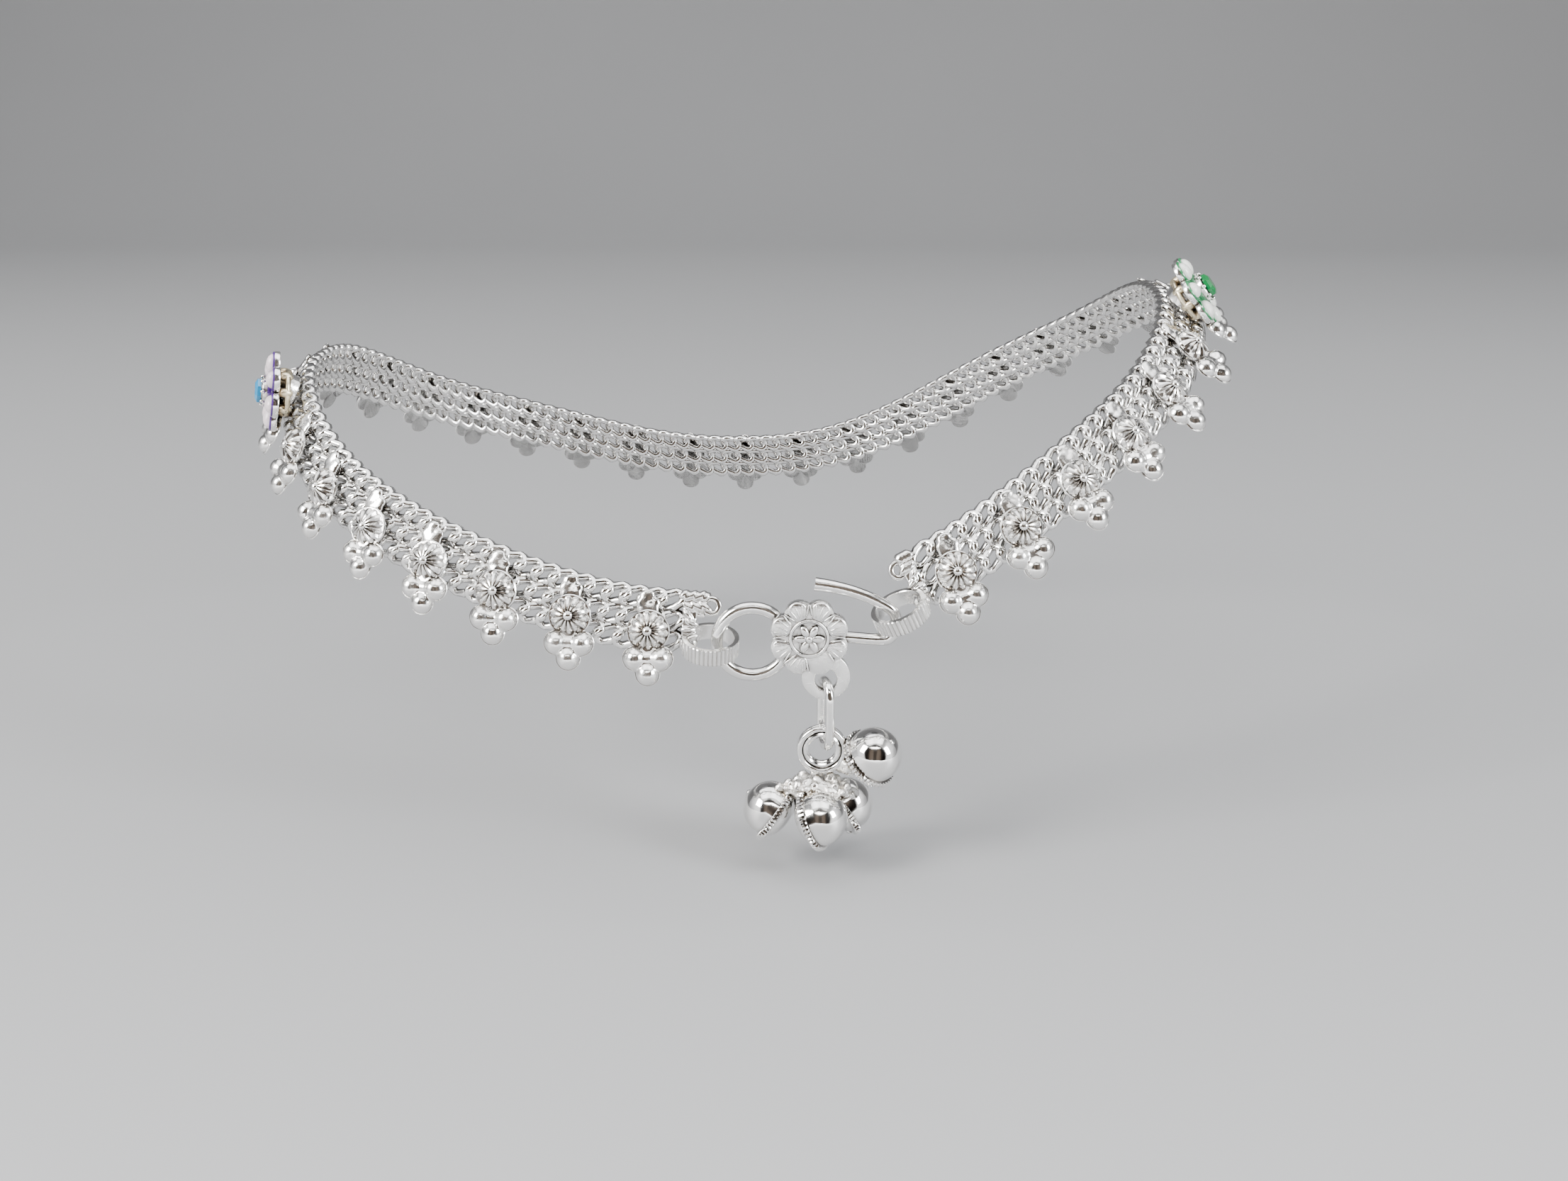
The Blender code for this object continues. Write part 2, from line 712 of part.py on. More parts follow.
def back_to_tip(last, before, tip):
    # A curve that leaves the bend straight and flattens toward the tip
    direction = (last - before).normalized()
    knee = last + direction * (tip - last).length * HOOK_KNEE
    points = []
    for i in range(1, TIP_STEPS + 1):
        t = i / TIP_STEPS
        points.append((1 - t) ** 2 * last + 2 * t * (1 - t) * knee + t * t * tip)
    return points


def plaque_mesh(plaque, eye):
    # Flower-shaped plate with a plain floret in the middle and a round eye below
    facing = turn(math.pi / 2, "X")
    back = HOOK_WIRE_RADIUS - SOLDER_DEPTH
    front = back + PLAQUE_THICKNESS
    outline = [petal_outline(height, PLAQUE_RADIUS, PLAQUE_PETALS, PLAQUE_SCALLOP)
               for height in (back, front)]
    flower = stacked("flower", outline)
    floret = moved(fluted_button("floret", FLORET_RADIUS, FLORET_RIM,
                                 2 * FLORET_HEIGHT, PLAQUE_PETALS), shift(z=front - FLORET_HEIGHT))
    spot = (eye.x - plaque.x, eye.z - plaque.z)
    boss = disc_mesh("eye_boss", EYE_HOLE_RADIUS + EYE_RIM, back + EYE_INSET, front - EYE_INSET,
                     spot, EYE_BOSS_SIDES)
    hole = disc_mesh("eye_hole", EYE_HOLE_RADIUS, back - EYE_RIM, front + EYE_RIM,
                     spot, PLAQUE_HOLE_SIDES)
    whole = fuse("plaque", [flower, floret, boss], [hole])
    return moved(whole, Matrix.Translation(plaque) @ facing)


def build_hook(heel_ring, instep_ring):
    side = Vector((0, 1, 0))
    reach = RING_INNER_RADIUS - LOOP_PLAY - LOOP_WIRE_RADIUS
    loop_centre = heel_ring.translation + Vector((reach + LOOP_RADIUS, 0, LOOP_ABOVE_RING))
    plaque = loop_centre + Vector((PLAQUE_FROM_LOOP, 0, PLAQUE_ABOVE_LOOP))
    eye = plaque + Vector((EYE_SIDEWAYS, 0, -EYE_BELOW_PLAQUE))
    circle = arc_points(loop_centre, LOOP_RADIUS, 0.0, 2 * math.pi, LOOP_STEPS)[:-1]
    loop = tube("hook_loop", circle, LOOP_WIRE_RADIUS, WIRE_SIDES, side, closed=True)
    wire = tube("hook_wire", hook_points(plaque, instep_ring), HOOK_WIRE_RADIUS, WIRE_SIDES, side)
    whole = fuse("clasp_hook", [loop, wire, plaque_mesh(plaque, eye)])
    place("clasp_hook", whole, silver("hook_silver"))
    eye.y -= HOOK_WIRE_RADIUS - SOLDER_DEPTH + PLAQUE_THICKNESS / 2
    return eye


def build_link(eye):
    # Pivot in the middle of the eye's lower rim; the link's top bow lies just above that rim
    pivot = eye - Vector((0, 0, EYE_HOLE_RADIUS + EYE_RIM / 2))
    inner_top = EYE_RIM / 2 + PIVOT_GAP
    bow = LINK_INNER_RADIUS + LINK_WIRE_RADIUS
    top_centre = inner_top - LINK_INNER_RADIUS
    low_centre = inner_top - LINK_INNER_LENGTH + LINK_INNER_RADIUS
    points = []
    for centre, start in ((top_centre, 0.0), (low_centre, math.pi)):
        for i in range(BEND_STEPS + 1):
            angle = start + math.pi * i / BEND_STEPS
            points.append(Vector((0, bow * math.cos(angle), centre + bow * math.sin(angle))))
    link = tube("drop_link", points, LINK_WIRE_RADIUS, WIRE_SIDES, Vector((1, 0, 0)), closed=True)
    place("drop_link", link, silver("link_silver"), Matrix.Translation(pivot))
    wire = low_centre - bow
    return pivot + Vector((0, 0, wire))


def bell_mesh(name):
    half = FLANGE_THICKNESS / 2
    profile = [
        (BELL_RADIUS * BACK_MOUTH, -BELL_BACK - half),
        (BELL_RADIUS * BACK_EDGE, -half),
        (FLANGE_RADIUS, -half),
        (FLANGE_RADIUS, half),
        (BELL_RADIUS, half),
    ]
    profile += [(BELL_RADIUS * wide, BELL_DOME * high) for wide, high in DOME_OUTLINE]
    return turned(name, profile + [(0.0, BELL_DOME)], BELL_SIDES)


def build_bells(hang):
    # Origin on the pivot, the middle of the link's lowest wire
    off_centre = BELL_RING_INNER - LINK_WIRE_RADIUS - PIVOT_GAP
    drop = math.sqrt(off_centre ** 2 - RING_SIDEWAYS ** 2)
    side = Vector((0, 1, 0))
    centre = Vector((-RING_SIDEWAYS, 0, -drop))
    middle = (BELL_RING_INNER + BELL_RING_OUTER) / 2
    circle = arc_points(centre, middle, 0.0, 2 * math.pi, BELL_RING_STEPS)[:-1]
    wire = (BELL_RING_OUTER - BELL_RING_INNER) / 2
    ring = tube("bell_ring", circle, wire, WIRE_SIDES, side, closed=True)
    pieces = [ring]
    for name, across, outward, down, heading, rise in BELL_LAYOUT:
        spot = centre + BELL_RADIUS * Vector((across, -outward, -down))
        aim = turn(math.radians(heading), "Z") @ turn(math.pi / 2 - math.radians(rise), "Y")
        pieces.append(moved(bell_mesh("bell_" + name), Matrix.Translation(spot) @ aim))
    pieces.append(solder_mesh("solder", centre, SOLDER_SPOT, SOLDER_SIZE))
    pieces.append(solder_mesh("bridge", centre, BRIDGE_SPOT, BRIDGE_SIZE))
    cluster = fuse("bell_cluster", pieces)
    place("bell_cluster", cluster, silver("bell_silver"), Matrix.Translation(hang))


def solder_mesh(name, centre, spot, size):
    # A lump of solder, its place and its size as shares of BELL_RADIUS
    bm = bmesh.new()
    bmesh.ops.create_icosphere(bm, subdivisions=1, radius=BELL_RADIUS)
    mesh = mesh_from(bm, name)
    middle = centre + BELL_RADIUS * Vector((spot[0], 0, spot[1]))
    return moved(mesh, Matrix.Translation(middle) @ Matrix.Diagonal(size).to_4x4())


def build():
    clear_scene()
    route = Route()
    lengths = unit_frames(route)
    heel_start = lengths[0] - BAND_PAST_ROSETTE
    instep_start = lengths[-1] + BAND_PAST_ROSETTE
    build_band(route, heel_start, instep_start)
    build_units(route, lengths)
    heel_ring = build_end(
        "end_piece_heel", route, heel_start, -1, END_LENGTH_HEEL, RING_ALONG_HEEL)
    instep_ring = build_end(
        "end_piece_instep", route, instep_start, 1, END_LENGTH_INSTEP, RING_ALONG_INSTEP)
    eye = build_hook(heel_ring, instep_ring)
    build_bells(build_link(eye))


build()
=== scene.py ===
import math

import bpy
import numpy as np
from mathutils import Matrix, Vector


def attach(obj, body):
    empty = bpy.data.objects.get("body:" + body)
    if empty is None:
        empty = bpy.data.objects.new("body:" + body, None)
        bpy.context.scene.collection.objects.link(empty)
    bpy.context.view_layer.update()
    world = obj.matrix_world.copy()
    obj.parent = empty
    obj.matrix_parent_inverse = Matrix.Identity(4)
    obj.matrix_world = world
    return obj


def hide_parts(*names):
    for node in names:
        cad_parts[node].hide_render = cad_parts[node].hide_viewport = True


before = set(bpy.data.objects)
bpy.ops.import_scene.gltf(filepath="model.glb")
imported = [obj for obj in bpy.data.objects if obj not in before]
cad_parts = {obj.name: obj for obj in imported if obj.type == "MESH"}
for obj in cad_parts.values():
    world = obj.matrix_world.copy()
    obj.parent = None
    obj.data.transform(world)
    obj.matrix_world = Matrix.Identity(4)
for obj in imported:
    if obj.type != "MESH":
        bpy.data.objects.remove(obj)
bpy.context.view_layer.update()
mm = 0.001
joinReach = 0.0001 * mm  # points nearer than this are one point


# Small tools

def deselectAll():
    if bpy.context.object and bpy.context.object.mode != "OBJECT":
        bpy.ops.object.mode_set(mode="OBJECT")
    bpy.ops.object.select_all(action="DESELECT")


def makeActive(piece):
    deselectAll()
    piece.select_set(True)
    bpy.context.view_layer.objects.active = piece


def settled():
    # The piece that was added last, with its place moved into its mesh
    bpy.ops.object.transform_apply(location=True, rotation=True, scale=True)
    return bpy.context.object


def ball(radius, place, size=(1, 1, 1), segments=16, rings=8, turn=(0, 0, 0)):
    deselectAll()
    bpy.ops.mesh.primitive_uv_sphere_add(segments=segments, ring_count=rings, radius=radius,
                                         location=place, rotation=turn, scale=size)
    return settled()


def block(place, size):
    deselectAll()
    bpy.ops.mesh.primitive_cube_add(size=1, location=place, scale=size)
    return settled()


def drum(radius, low, high, segments=24, centre=(0, 0)):
    deselectAll()
    bpy.ops.mesh.primitive_cylinder_add(vertices=segments, radius=radius, depth=high - low,
                                        location=(centre[0], centre[1], (low + high) / 2))
    return settled()


def ringTube(major, minor, place=(0, 0, 0), segments=48, sides=12, turn=(0, 0, 0), size=(1, 1, 1)):
    deselectAll()
    bpy.ops.mesh.primitive_torus_add(major_segments=segments, minor_segments=sides, location=place,
                                     rotation=turn, major_radius=major, minor_radius=minor)
    bpy.context.object.scale = size
    return settled()


def pick(piece, kind, chosen):
    # Edit mode with only the chosen points or faces selected, by their place
    makeActive(piece)
    bpy.ops.object.mode_set(mode="EDIT")
    bpy.ops.mesh.select_mode(type=kind)
    bpy.ops.mesh.select_all(action="DESELECT")
    bpy.ops.object.mode_set(mode="OBJECT")
    items = piece.data.vertices if kind == "VERT" else piece.data.polygons
    for item in items:
        item.select = bool(chosen(item))
    bpy.ops.object.mode_set(mode="EDIT")


def leaveEdit():
    bpy.ops.object.mode_set(mode="OBJECT")


def rescale(piece, chosen, value, centre=(0, 0, 0)):
    pick(piece, "VERT", chosen)
    bpy.ops.transform.resize(value=value, center_override=centre)
    leaveEdit()
    return piece


def cutBelow(piece, height):
    # Keeps what lies above a level plane and closes the cut
    makeActive(piece)
    bpy.ops.object.mode_set(mode="EDIT")
    bpy.ops.mesh.select_all(action="SELECT")
    bpy.ops.mesh.bisect(plane_co=(0, 0, height), plane_no=(0, 0, 1), use_fill=True, clear_inner=True,
                        threshold=joinReach)
    leaveEdit()
    return piece


def bevelled(piece, width, segments=2, angle=50):
    makeActive(piece)
    modifier = piece.modifiers.new("Bevel", "BEVEL")
    modifier.width = width
    modifier.segments = segments
    modifier.limit_method = "ANGLE"
    modifier.angle_limit = math.radians(angle)
    bpy.ops.object.modifier_apply(modifier=modifier.name)
    return piece


def flatRing(outer, inner, low, high, segments=32, centre=(0, 0)):
    # A washer: a drum whose two ends are inset, with the middles bridged into a hole
    piece = drum(outer, low, high, segments, centre)
    pick(piece, "FACE", lambda face: abs(face.normal.z) > 0.9)
    bpy.ops.mesh.inset(thickness=outer - inner, use_even_offset=True)
    bpy.ops.mesh.bridge_edge_loops()
    bpy.ops.mesh.select_all(action="SELECT")
    bpy.ops.mesh.normals_make_consistent(inside=False)
    leaveEdit()
    return piece


def wireAlong(points, radius, closed=False, sides=3, swell=1.0):
    # Round wire drawn as a curve, then made a mesh
    deselectAll()
    line = bpy.data.curves.new("wire", "CURVE")
    line.dimensions = "3D"
    line.bevel_depth = radius
    line.bevel_resolution = sides
    line.use_fill_caps = not closed
    spline = line.splines.new("POLY")
    spline.points.add(len(points) - 1)
    for i, (knot, point) in enumerate(zip(spline.points, points)):
        knot.co = (*point, 1)
        knot.radius = 1 + (swell - 1) * max(0.0, 4 * i / len(points) - 3)  # the last quarter thickens
    spline.use_cyclic_u = closed
    piece = bpy.data.objects.new("wire", line)
    bpy.context.scene.collection.objects.link(piece)
    makeActive(piece)
    bpy.ops.object.convert(target="MESH")
    bpy.ops.object.mode_set(mode="EDIT")
    bpy.ops.mesh.select_all(action="SELECT")
    bpy.ops.mesh.remove_doubles(threshold=joinReach)  # the end caps join the wire
    leaveEdit()
    return bpy.context.object


def joined(name, parts):
    deselectAll()
    for part in parts:
        part.select_set(True)
    bpy.context.view_layer.objects.active = parts[0]
    if len(parts) > 1:
        bpy.ops.object.join()
    piece = bpy.context.object
    piece.name = name
    piece.data.name = name
    return piece


def fused(piece, grain, rounds):
    # Melts overlapping shapes into one skin, as in a casting
    makeActive(piece)
    melt = piece.modifiers.new("Melt", "REMESH")
    melt.mode = "VOXEL"
    melt.voxel_size = grain
    bpy.ops.object.modifier_apply(modifier=melt.name)
    soften = piece.modifiers.new("Soften", "SMOOTH")
    soften.factor = 0.5
    soften.iterations = rounds
    bpy.ops.object.modifier_apply(modifier=soften.name)
    return piece


def moved(piece, matrix):
    piece.data.transform(matrix)
    return piece


def twin(piece, matrix):
    # A copy with its own mesh, moved to its place
    copy = bpy.data.objects.new(piece.name, piece.data.copy())
    bpy.context.scene.collection.objects.link(copy)
    copy.data.transform(matrix)
    return copy


def smoothed(piece, angle=40):
    makeActive(piece)
    bpy.ops.object.shade_smooth_by_angle(angle=math.radians(angle))
    return piece


def coated(piece, finish):
    piece.data.materials.clear()
    piece.data.materials.append(finish)
    return piece


def handOver(piece, body, slot, *nodes):
    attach(piece, body)
    if nodes:
        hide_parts(*nodes)
    return piece


def shift(x=0.0, y=0.0, z=0.0):
    return Matrix.Translation((x, y, z))


def turned(angle, axis):
    return Matrix.Rotation(angle, 4, axis)


def around(radius, angle):
    return radius * math.cos(angle), radius * math.sin(angle)


# Camera at the photograph's height and distance

cameraView = {
    "target": (4.908 * mm, 0.0, -29.292 * mm),
    "distance": 182.24 * mm,
    "above": math.radians(18),
    "lens": 36.29,
    "sensor": 36.0,
}


def makeCamera(values):
    lens = bpy.data.cameras.new("camera")
    camera = bpy.data.objects.new("camera", lens)
    bpy.context.scene.collection.objects.link(camera)
    lens.sensor_width = values["sensor"]
    lens.lens = values["lens"]
    lens.clip_start = mm
    ahead = Vector((0, math.cos(values["above"]), -math.sin(values["above"])))
    camera.location = Vector(values["target"]) - ahead * values["distance"]
    camera.rotation_euler = (math.pi / 2 - values["above"], 0, 0)
    bpy.context.scene.camera = camera


makeCamera(cameraView)
print("camera ready")


# Finishes. Each reads Object coordinates, so a pattern keeps its size on every piece

# Each look's dark tarnish colour, spread into grooves and hollows by ambient occlusion, is tarnish together
# with painted shade
silverLooks = {
    "castSilver": {
        "colour": (0.955, 0.945, 0.925), "tarnishAndShade": (0.13, 0.105, 0.08), "tarnishAndShadeReach": 0.55 * mm,
        "roughness": (0.12, 0.27), "patchSize": 700, "grainSize": 2600, "grainDepth": 0.020 * mm,
        "stretch": (1, 1, 1), "dentDepth": 0.11 * mm, "scratchDepth": 0.0,
    },
    "wireSilver": {
        "colour": (0.955, 0.947, 0.93), "tarnishAndShade": (0.14, 0.115, 0.09), "tarnishAndShadeReach": 0.45 * mm,
        "roughness": (0.09, 0.20), "patchSize": 500, "grainSize": 1800, "grainDepth": 0.012 * mm,
        "stretch": (1, 1, 1), "dentDepth": 0.015 * mm, "scratchDepth": 0.004 * mm,
    },
    "bellSilver": {
        "colour": (0.96, 0.952, 0.935), "tarnishAndShade": (0.14, 0.115, 0.09), "tarnishAndShadeReach": 0.40 * mm,
        "roughness": (0.05, 0.13), "patchSize": 420, "grainSize": 520, "grainDepth": 0.020 * mm,
        "stretch": (1, 1, 1), "dentDepth": 0.13 * mm, "scratchDepth": 0.002 * mm,
    },
    "brushedSilver": {
        "colour": (0.95, 0.942, 0.925), "tarnishAndShade": (0.09, 0.075, 0.06), "tarnishAndShadeReach": 0.55 * mm,
        "roughness": (0.16, 0.32), "patchSize": 600, "grainSize": 1500, "grainDepth": 0.022 * mm,
        "stretch": (0.35, 1, 3.2), "dentDepth": 0.02 * mm, "scratchDepth": 0.016 * mm,
    },
    "giltSilver": {
        "colour": (0.90, 0.80, 0.58), "tarnishAndShade": (0.30, 0.20, 0.10), "tarnishAndShadeReach": 0.8 * mm,
        "roughness": (0.22, 0.42), "patchSize": 900, "grainSize": 2200, "grainDepth": 0.03 * mm,
        "stretch": (1, 1, 1), "dentDepth": 0.04 * mm, "scratchDepth": 0.0,
    },
    "solderSilver": {
        "colour": (0.95, 0.938, 0.91), "tarnishAndShade": (0.34, 0.28, 0.20), "tarnishAndShadeReach": 0.5 * mm,
        "roughness": (0.18, 0.40), "patchSize": 1500, "grainSize": 3200, "grainDepth": 0.07 * mm,
        "stretch": (1, 1, 1), "dentDepth": 0.04 * mm, "scratchDepth": 0.0,
    },
}


def newMaterial(name):
    finish = bpy.data.materials.new(name)
    finish.use_nodes = True
    tree = finish.node_tree
    shader = tree.nodes["Principled BSDF"]
    place = tree.nodes.new("ShaderNodeTexCoord")
    return finish, tree, shader, place.outputs["Object"]


def noiseOn(tree, vector, scale, detail=3.0, stretch=(1, 1, 1)):
    mapping = tree.nodes.new("ShaderNodeMapping")
    mapping.inputs["Scale"].default_value = stretch
    noise = tree.nodes.new("ShaderNodeTexNoise")
    noise.inputs["Scale"].default_value = scale
    noise.inputs["Detail"].default_value = detail
    tree.links.new(vector, mapping.inputs["Vector"])
    tree.links.new(mapping.outputs["Vector"], noise.inputs["Vector"])
    return noise.outputs["Fac"]


def rangeOn(tree, value, low, high, fromLow=0.35, fromHigh=0.65):
    node = tree.nodes.new("ShaderNodeMapRange")
    node.inputs["From Min"].default_value = fromLow
    node.inputs["From Max"].default_value = fromHigh
    node.inputs["To Min"].default_value = low
    node.inputs["To Max"].default_value = high
    tree.links.new(value, node.inputs["Value"])
    return node.outputs["Result"]


def mixOn(tree, share, first, second):
    node = tree.nodes.new("ShaderNodeMix")
    node.data_type = "RGBA"
    for socket, value in (("A", first), ("B", second)):
        target = [s for s in node.inputs if s.name == socket and s.type == "RGBA"][0]
        if isinstance(value, tuple):
            target.default_value = (*value, 1)
        else:
            tree.links.new(value, target)
    tree.links.new(share, node.inputs["Factor"])
    return [s for s in node.outputs if s.type == "RGBA"][0]


def bumpOn(tree, height, depth, before=None):
    node = tree.nodes.new("ShaderNodeBump")
    node.inputs["Distance"].default_value = depth
    node.inputs["Strength"].default_value = 1.0
    tree.links.new(height, node.inputs["Height"])
    if before:
        tree.links.new(before, node.inputs["Normal"])
    return node.outputs["Normal"]


def makeSilver(name, look):
    finish, tree, shader, vector = newMaterial(name)
    shader.inputs["Metallic"].default_value = 1.0
    hollow = tree.nodes.new("ShaderNodeAmbientOcclusion")  # darkens grooves and hollows: tarnish together with painted shade
    hollow.inputs["Distance"].default_value = look["tarnishAndShadeReach"]
    hollow.samples = 6
    patches = noiseOn(tree, vector, look["patchSize"])
    # painted shade with tarnish: the colour darkens toward the tarnish tone wherever ambient occlusion finds
    # a hollow
    bareAndUnshaded = rangeOn(tree, hollow.outputs["AO"], 0.0, 1.0, 0.36, 0.94)
    worn = mixOn(tree, patches, look["colour"], tuple(0.93 * c for c in look["colour"]))
    tree.links.new(mixOn(tree, bareAndUnshaded, look["tarnishAndShade"], worn), shader.inputs["Base Color"])
    low, high = look["roughness"]
    tree.links.new(rangeOn(tree, patches, low, high), shader.inputs["Roughness"])
    normal = bumpOn(tree, noiseOn(tree, vector, look["patchSize"], 1.0), look["dentDepth"])
    grain = noiseOn(tree, vector, look["grainSize"], 4.0)
    normal = bumpOn(tree, grain, look["grainDepth"], normal)
    if look["scratchDepth"]:
        lines = noiseOn(tree, vector, look["grainSize"] * 3, 2.0, look["stretch"])
        normal = bumpOn(tree, lines, look["scratchDepth"], normal)
    tree.links.new(normal, shader.inputs["Normal"])
    return finish


enamelLooks = {
    "whiteEnamel": {"colour": (0.80, 0.72, 0.74), "second": (0.66, 0.57, 0.62), "roughness": 0.22},
    "violetEnamel": {"colour": (0.040, 0.006, 0.13), "second": (0.075, 0.018, 0.20), "roughness": 0.2},
    "greenEnamel": {"colour": (0.0, 0.13, 0.035), "second": (0.01, 0.22, 0.07), "roughness": 0.2},
    "paleEnamel": {"colour": (0.82, 0.82, 0.78), "second": (0.70, 0.73, 0.68), "roughness": 0.22},
}
enamelSurface = {
    "cloudSize": 900, "duller": 1.8, "rippleSize": 1400, "rippleDepth": 0.03 * mm, "coat": 0.6,
    "coatRoughness": 0.08,
}


def makeEnamel(name, look):
    finish, tree, shader, vector = newMaterial(name)
    cloud = noiseOn(tree, vector, enamelSurface["cloudSize"], 3.0)
    tree.links.new(mixOn(tree, cloud, look["colour"], look["second"]), shader.inputs["Base Color"])
    dullest = look["roughness"] * enamelSurface["duller"]
    tree.links.new(rangeOn(tree, cloud, look["roughness"], dullest), shader.inputs["Roughness"])
    ripple = noiseOn(tree, vector, enamelSurface["rippleSize"], 2.0)
    tree.links.new(bumpOn(tree, ripple, enamelSurface["rippleDepth"]), shader.inputs["Normal"])
    shader.inputs["Coat Weight"].default_value = enamelSurface["coat"]
    shader.inputs["Coat Roughness"].default_value = enamelSurface["coatRoughness"]
    return finish


stoneLooks = {
    "blueStone": {"colour": (0.03, 0.42, 0.75), "second": (0.01, 0.20, 0.48)},
    "greenStone": {"colour": (0.005, 0.30, 0.08), "second": (0.0, 0.16, 0.04)},
}
stoneSurface = {"cloudSize": 600, "roughness": (0.03, 0.09), "bending": 1.6, "clear": 0.25, "coat": 0.5}


def makeStone(name, look):
    finish, tree, shader, vector = newMaterial(name)
    cloud = noiseOn(tree, vector, stoneSurface["cloudSize"], 2.0)
    tree.links.new(mixOn(tree, cloud, look["colour"], look["second"]), shader.inputs["Base Color"])
    tree.links.new(rangeOn(tree, cloud, *stoneSurface["roughness"]), shader.inputs["Roughness"])
    shader.inputs["IOR"].default_value = stoneSurface["bending"]
    shader.inputs["Transmission Weight"].default_value = stoneSurface["clear"]
    shader.inputs["Coat Weight"].default_value = stoneSurface["coat"]
    return finish


finishes = {name: makeSilver(name, look) for name, look in silverLooks.items()}
finishes.update({name: makeEnamel(name, look) for name, look in enamelLooks.items()})
finishes.update({name: makeStone(name, look) for name, look in stoneLooks.items()})
print("finishes ready")


# The band's route, the same as the model's

bandShape = {
    "loopLength": 94.0 * mm, "loopWidth": 68.7 * mm, "roundness": 2.36, "saddleDepth": 25.3 * mm,
    # height share at every 22.5 degrees from the instep to the heel
    "heights": (1.0, 0.849, 0.579, 0.219, 0.0, 0.127, 0.330, 0.555, 0.683),
    "flareInstep": math.radians(58), "flareSide": math.radians(19), "flareHeel": math.radians(30),
    "rows": 3, "rowSpacing": 1.9 * mm, "halfThickness": 0.65 * mm,
    "claspOffset": 6.9 * mm, "claspSpan": 28.8 * mm, "unitPitch": 7.2 * mm,
    "heelJewel": 7, "instepJewel": 6, "pastRosette": 2.6 * mm,
    "seatGap": 0.35 * mm, "rosetteBelow": 1.1 * mm, "leanFront": 0.5, "leanBack": 0.95,
}
routeSteps = 1440


def routeWeights(shape):
    angles = np.radians(22.5 * np.arange(len(shape["heights"])))
    waves = np.cos(np.outer(angles, np.arange(len(angles))))
    return np.linalg.solve(waves, np.array(shape["heights"]))


def routePoint(shape, weights, angle):
    cosine, sine = math.cos(angle), math.sin(angle)
    power = 2 / shape["roundness"]
    x = shape["loopLength"] / 2 * math.copysign(abs(cosine) ** power, cosine)
    y = -shape["loopWidth"] / 2 * math.copysign(abs(sine) ** power, sine)
    share = sum(w * math.cos(k * angle) for k, w in enumerate(weights))
    rest = (shape["heights"][0] + shape["heights"][-1]) / 2
    return Vector((x, y, shape["saddleDepth"] * (share - rest)))


bandWeights = routeWeights(bandShape)
routePoints = [routePoint(bandShape, bandWeights, 2 * math.pi * i / routeSteps) for i in range(routeSteps)]
routeReach = [0.0]
for i in range(routeSteps):
    routeReach.append(routeReach[-1] + (routePoints[(i + 1) % routeSteps] - routePoints[i]).length)
routeLength = routeReach[-1]


def bandFrame(length):
    # Columns: along the band, down its width, out of its face
    spot = length % routeLength
    i = min(int(np.searchsorted(routeReach, spot, side="right")) - 1, routeSteps - 1)
    share = (spot - routeReach[i]) / (routeReach[i + 1] - routeReach[i])
    centre = routePoints[i].lerp(routePoints[(i + 1) % routeSteps], share)
    along = (routePoints[(i + 3) % routeSteps] - routePoints[(i - 2) % routeSteps]).normalized()
    cosine = centre.x / (bandShape["loopLength"] / 2)
    flareEnd = bandShape["flareInstep"] if cosine > 0 else bandShape["flareHeel"]
    flareShare = min(1.0, abs(cosine)) ** bandShape["roundness"]
    flare = bandShape["flareSide"] + (flareEnd - bandShape["flareSide"]) * flareShare
    levelOut = Vector((0, 0, 1)).cross(along).normalized()
    up = along.cross(levelOut).normalized()
    face = levelOut * math.cos(flare) + up * math.sin(flare)
    matrix = Matrix((along, face.cross(along), face)).transposed().to_4x4()
    matrix.translation = centre
    return matrix


def unitLengths():
    middle = routeReach[routeSteps // 4] - bandShape["claspOffset"]
    first = middle + bandShape["claspSpan"] / 2
    free = routeLength - bandShape["claspSpan"]
    count = round(free / bandShape["unitPitch"]) + 1
    return [first + free * i / (count - 1) for i in range(count)]


def plumbLean(matrix):
    along, down = matrix.col[0].to_3d(), matrix.col[1].to_3d()
    plumb = Vector((0, 0, -1))
    share = bandShape["leanFront"] if matrix.translation.x > 0 else bandShape["leanBack"]
    return turned(share * math.atan2(-plumb.dot(along), plumb.dot(down)), "Z")


faceLevel = bandShape["halfThickness"] + bandShape["seatGap"]
units = unitLengths()
heelStart = units[0] - bandShape["pastRosette"]
instepStart = units[-1] + bandShape["pastRosette"]


# Three rows of curb chain in place of the plain band

chainLook = {
    "pitch": 1.78 * mm, "wire": 0.42 * mm, "linkLength": 3.34 * mm, "linkWidth": 2.24 * mm,
    "twist": math.radians(-98), "lean": math.radians(26), "segments": 16, "sides": 6,
}


def makeLink(look):
    width = look["linkWidth"] / 2 - look["wire"]
    link = ringTube(width, look["wire"], segments=look["segments"], sides=look["sides"])
    stretch = look["linkLength"] / 2 - look["wire"] - width
    for side in (1, -1):
        pick(link, "VERT", lambda point: point.co.x * side > 0.01 * mm)
        bpy.ops.transform.translate(value=(side * stretch, 0, 0))
        leaveEdit()
    makeActive(link)
    modifier = link.modifiers.new("Twist", "SIMPLE_DEFORM")
    modifier.deform_method = "TWIST"
    modifier.deform_axis = "X"
    modifier.angle = look["twist"]
    bpy.ops.object.modifier_apply(modifier=modifier.name)
    moved(link, turned(look["lean"], "Z"))
    link.name = "chainLink"
    return link


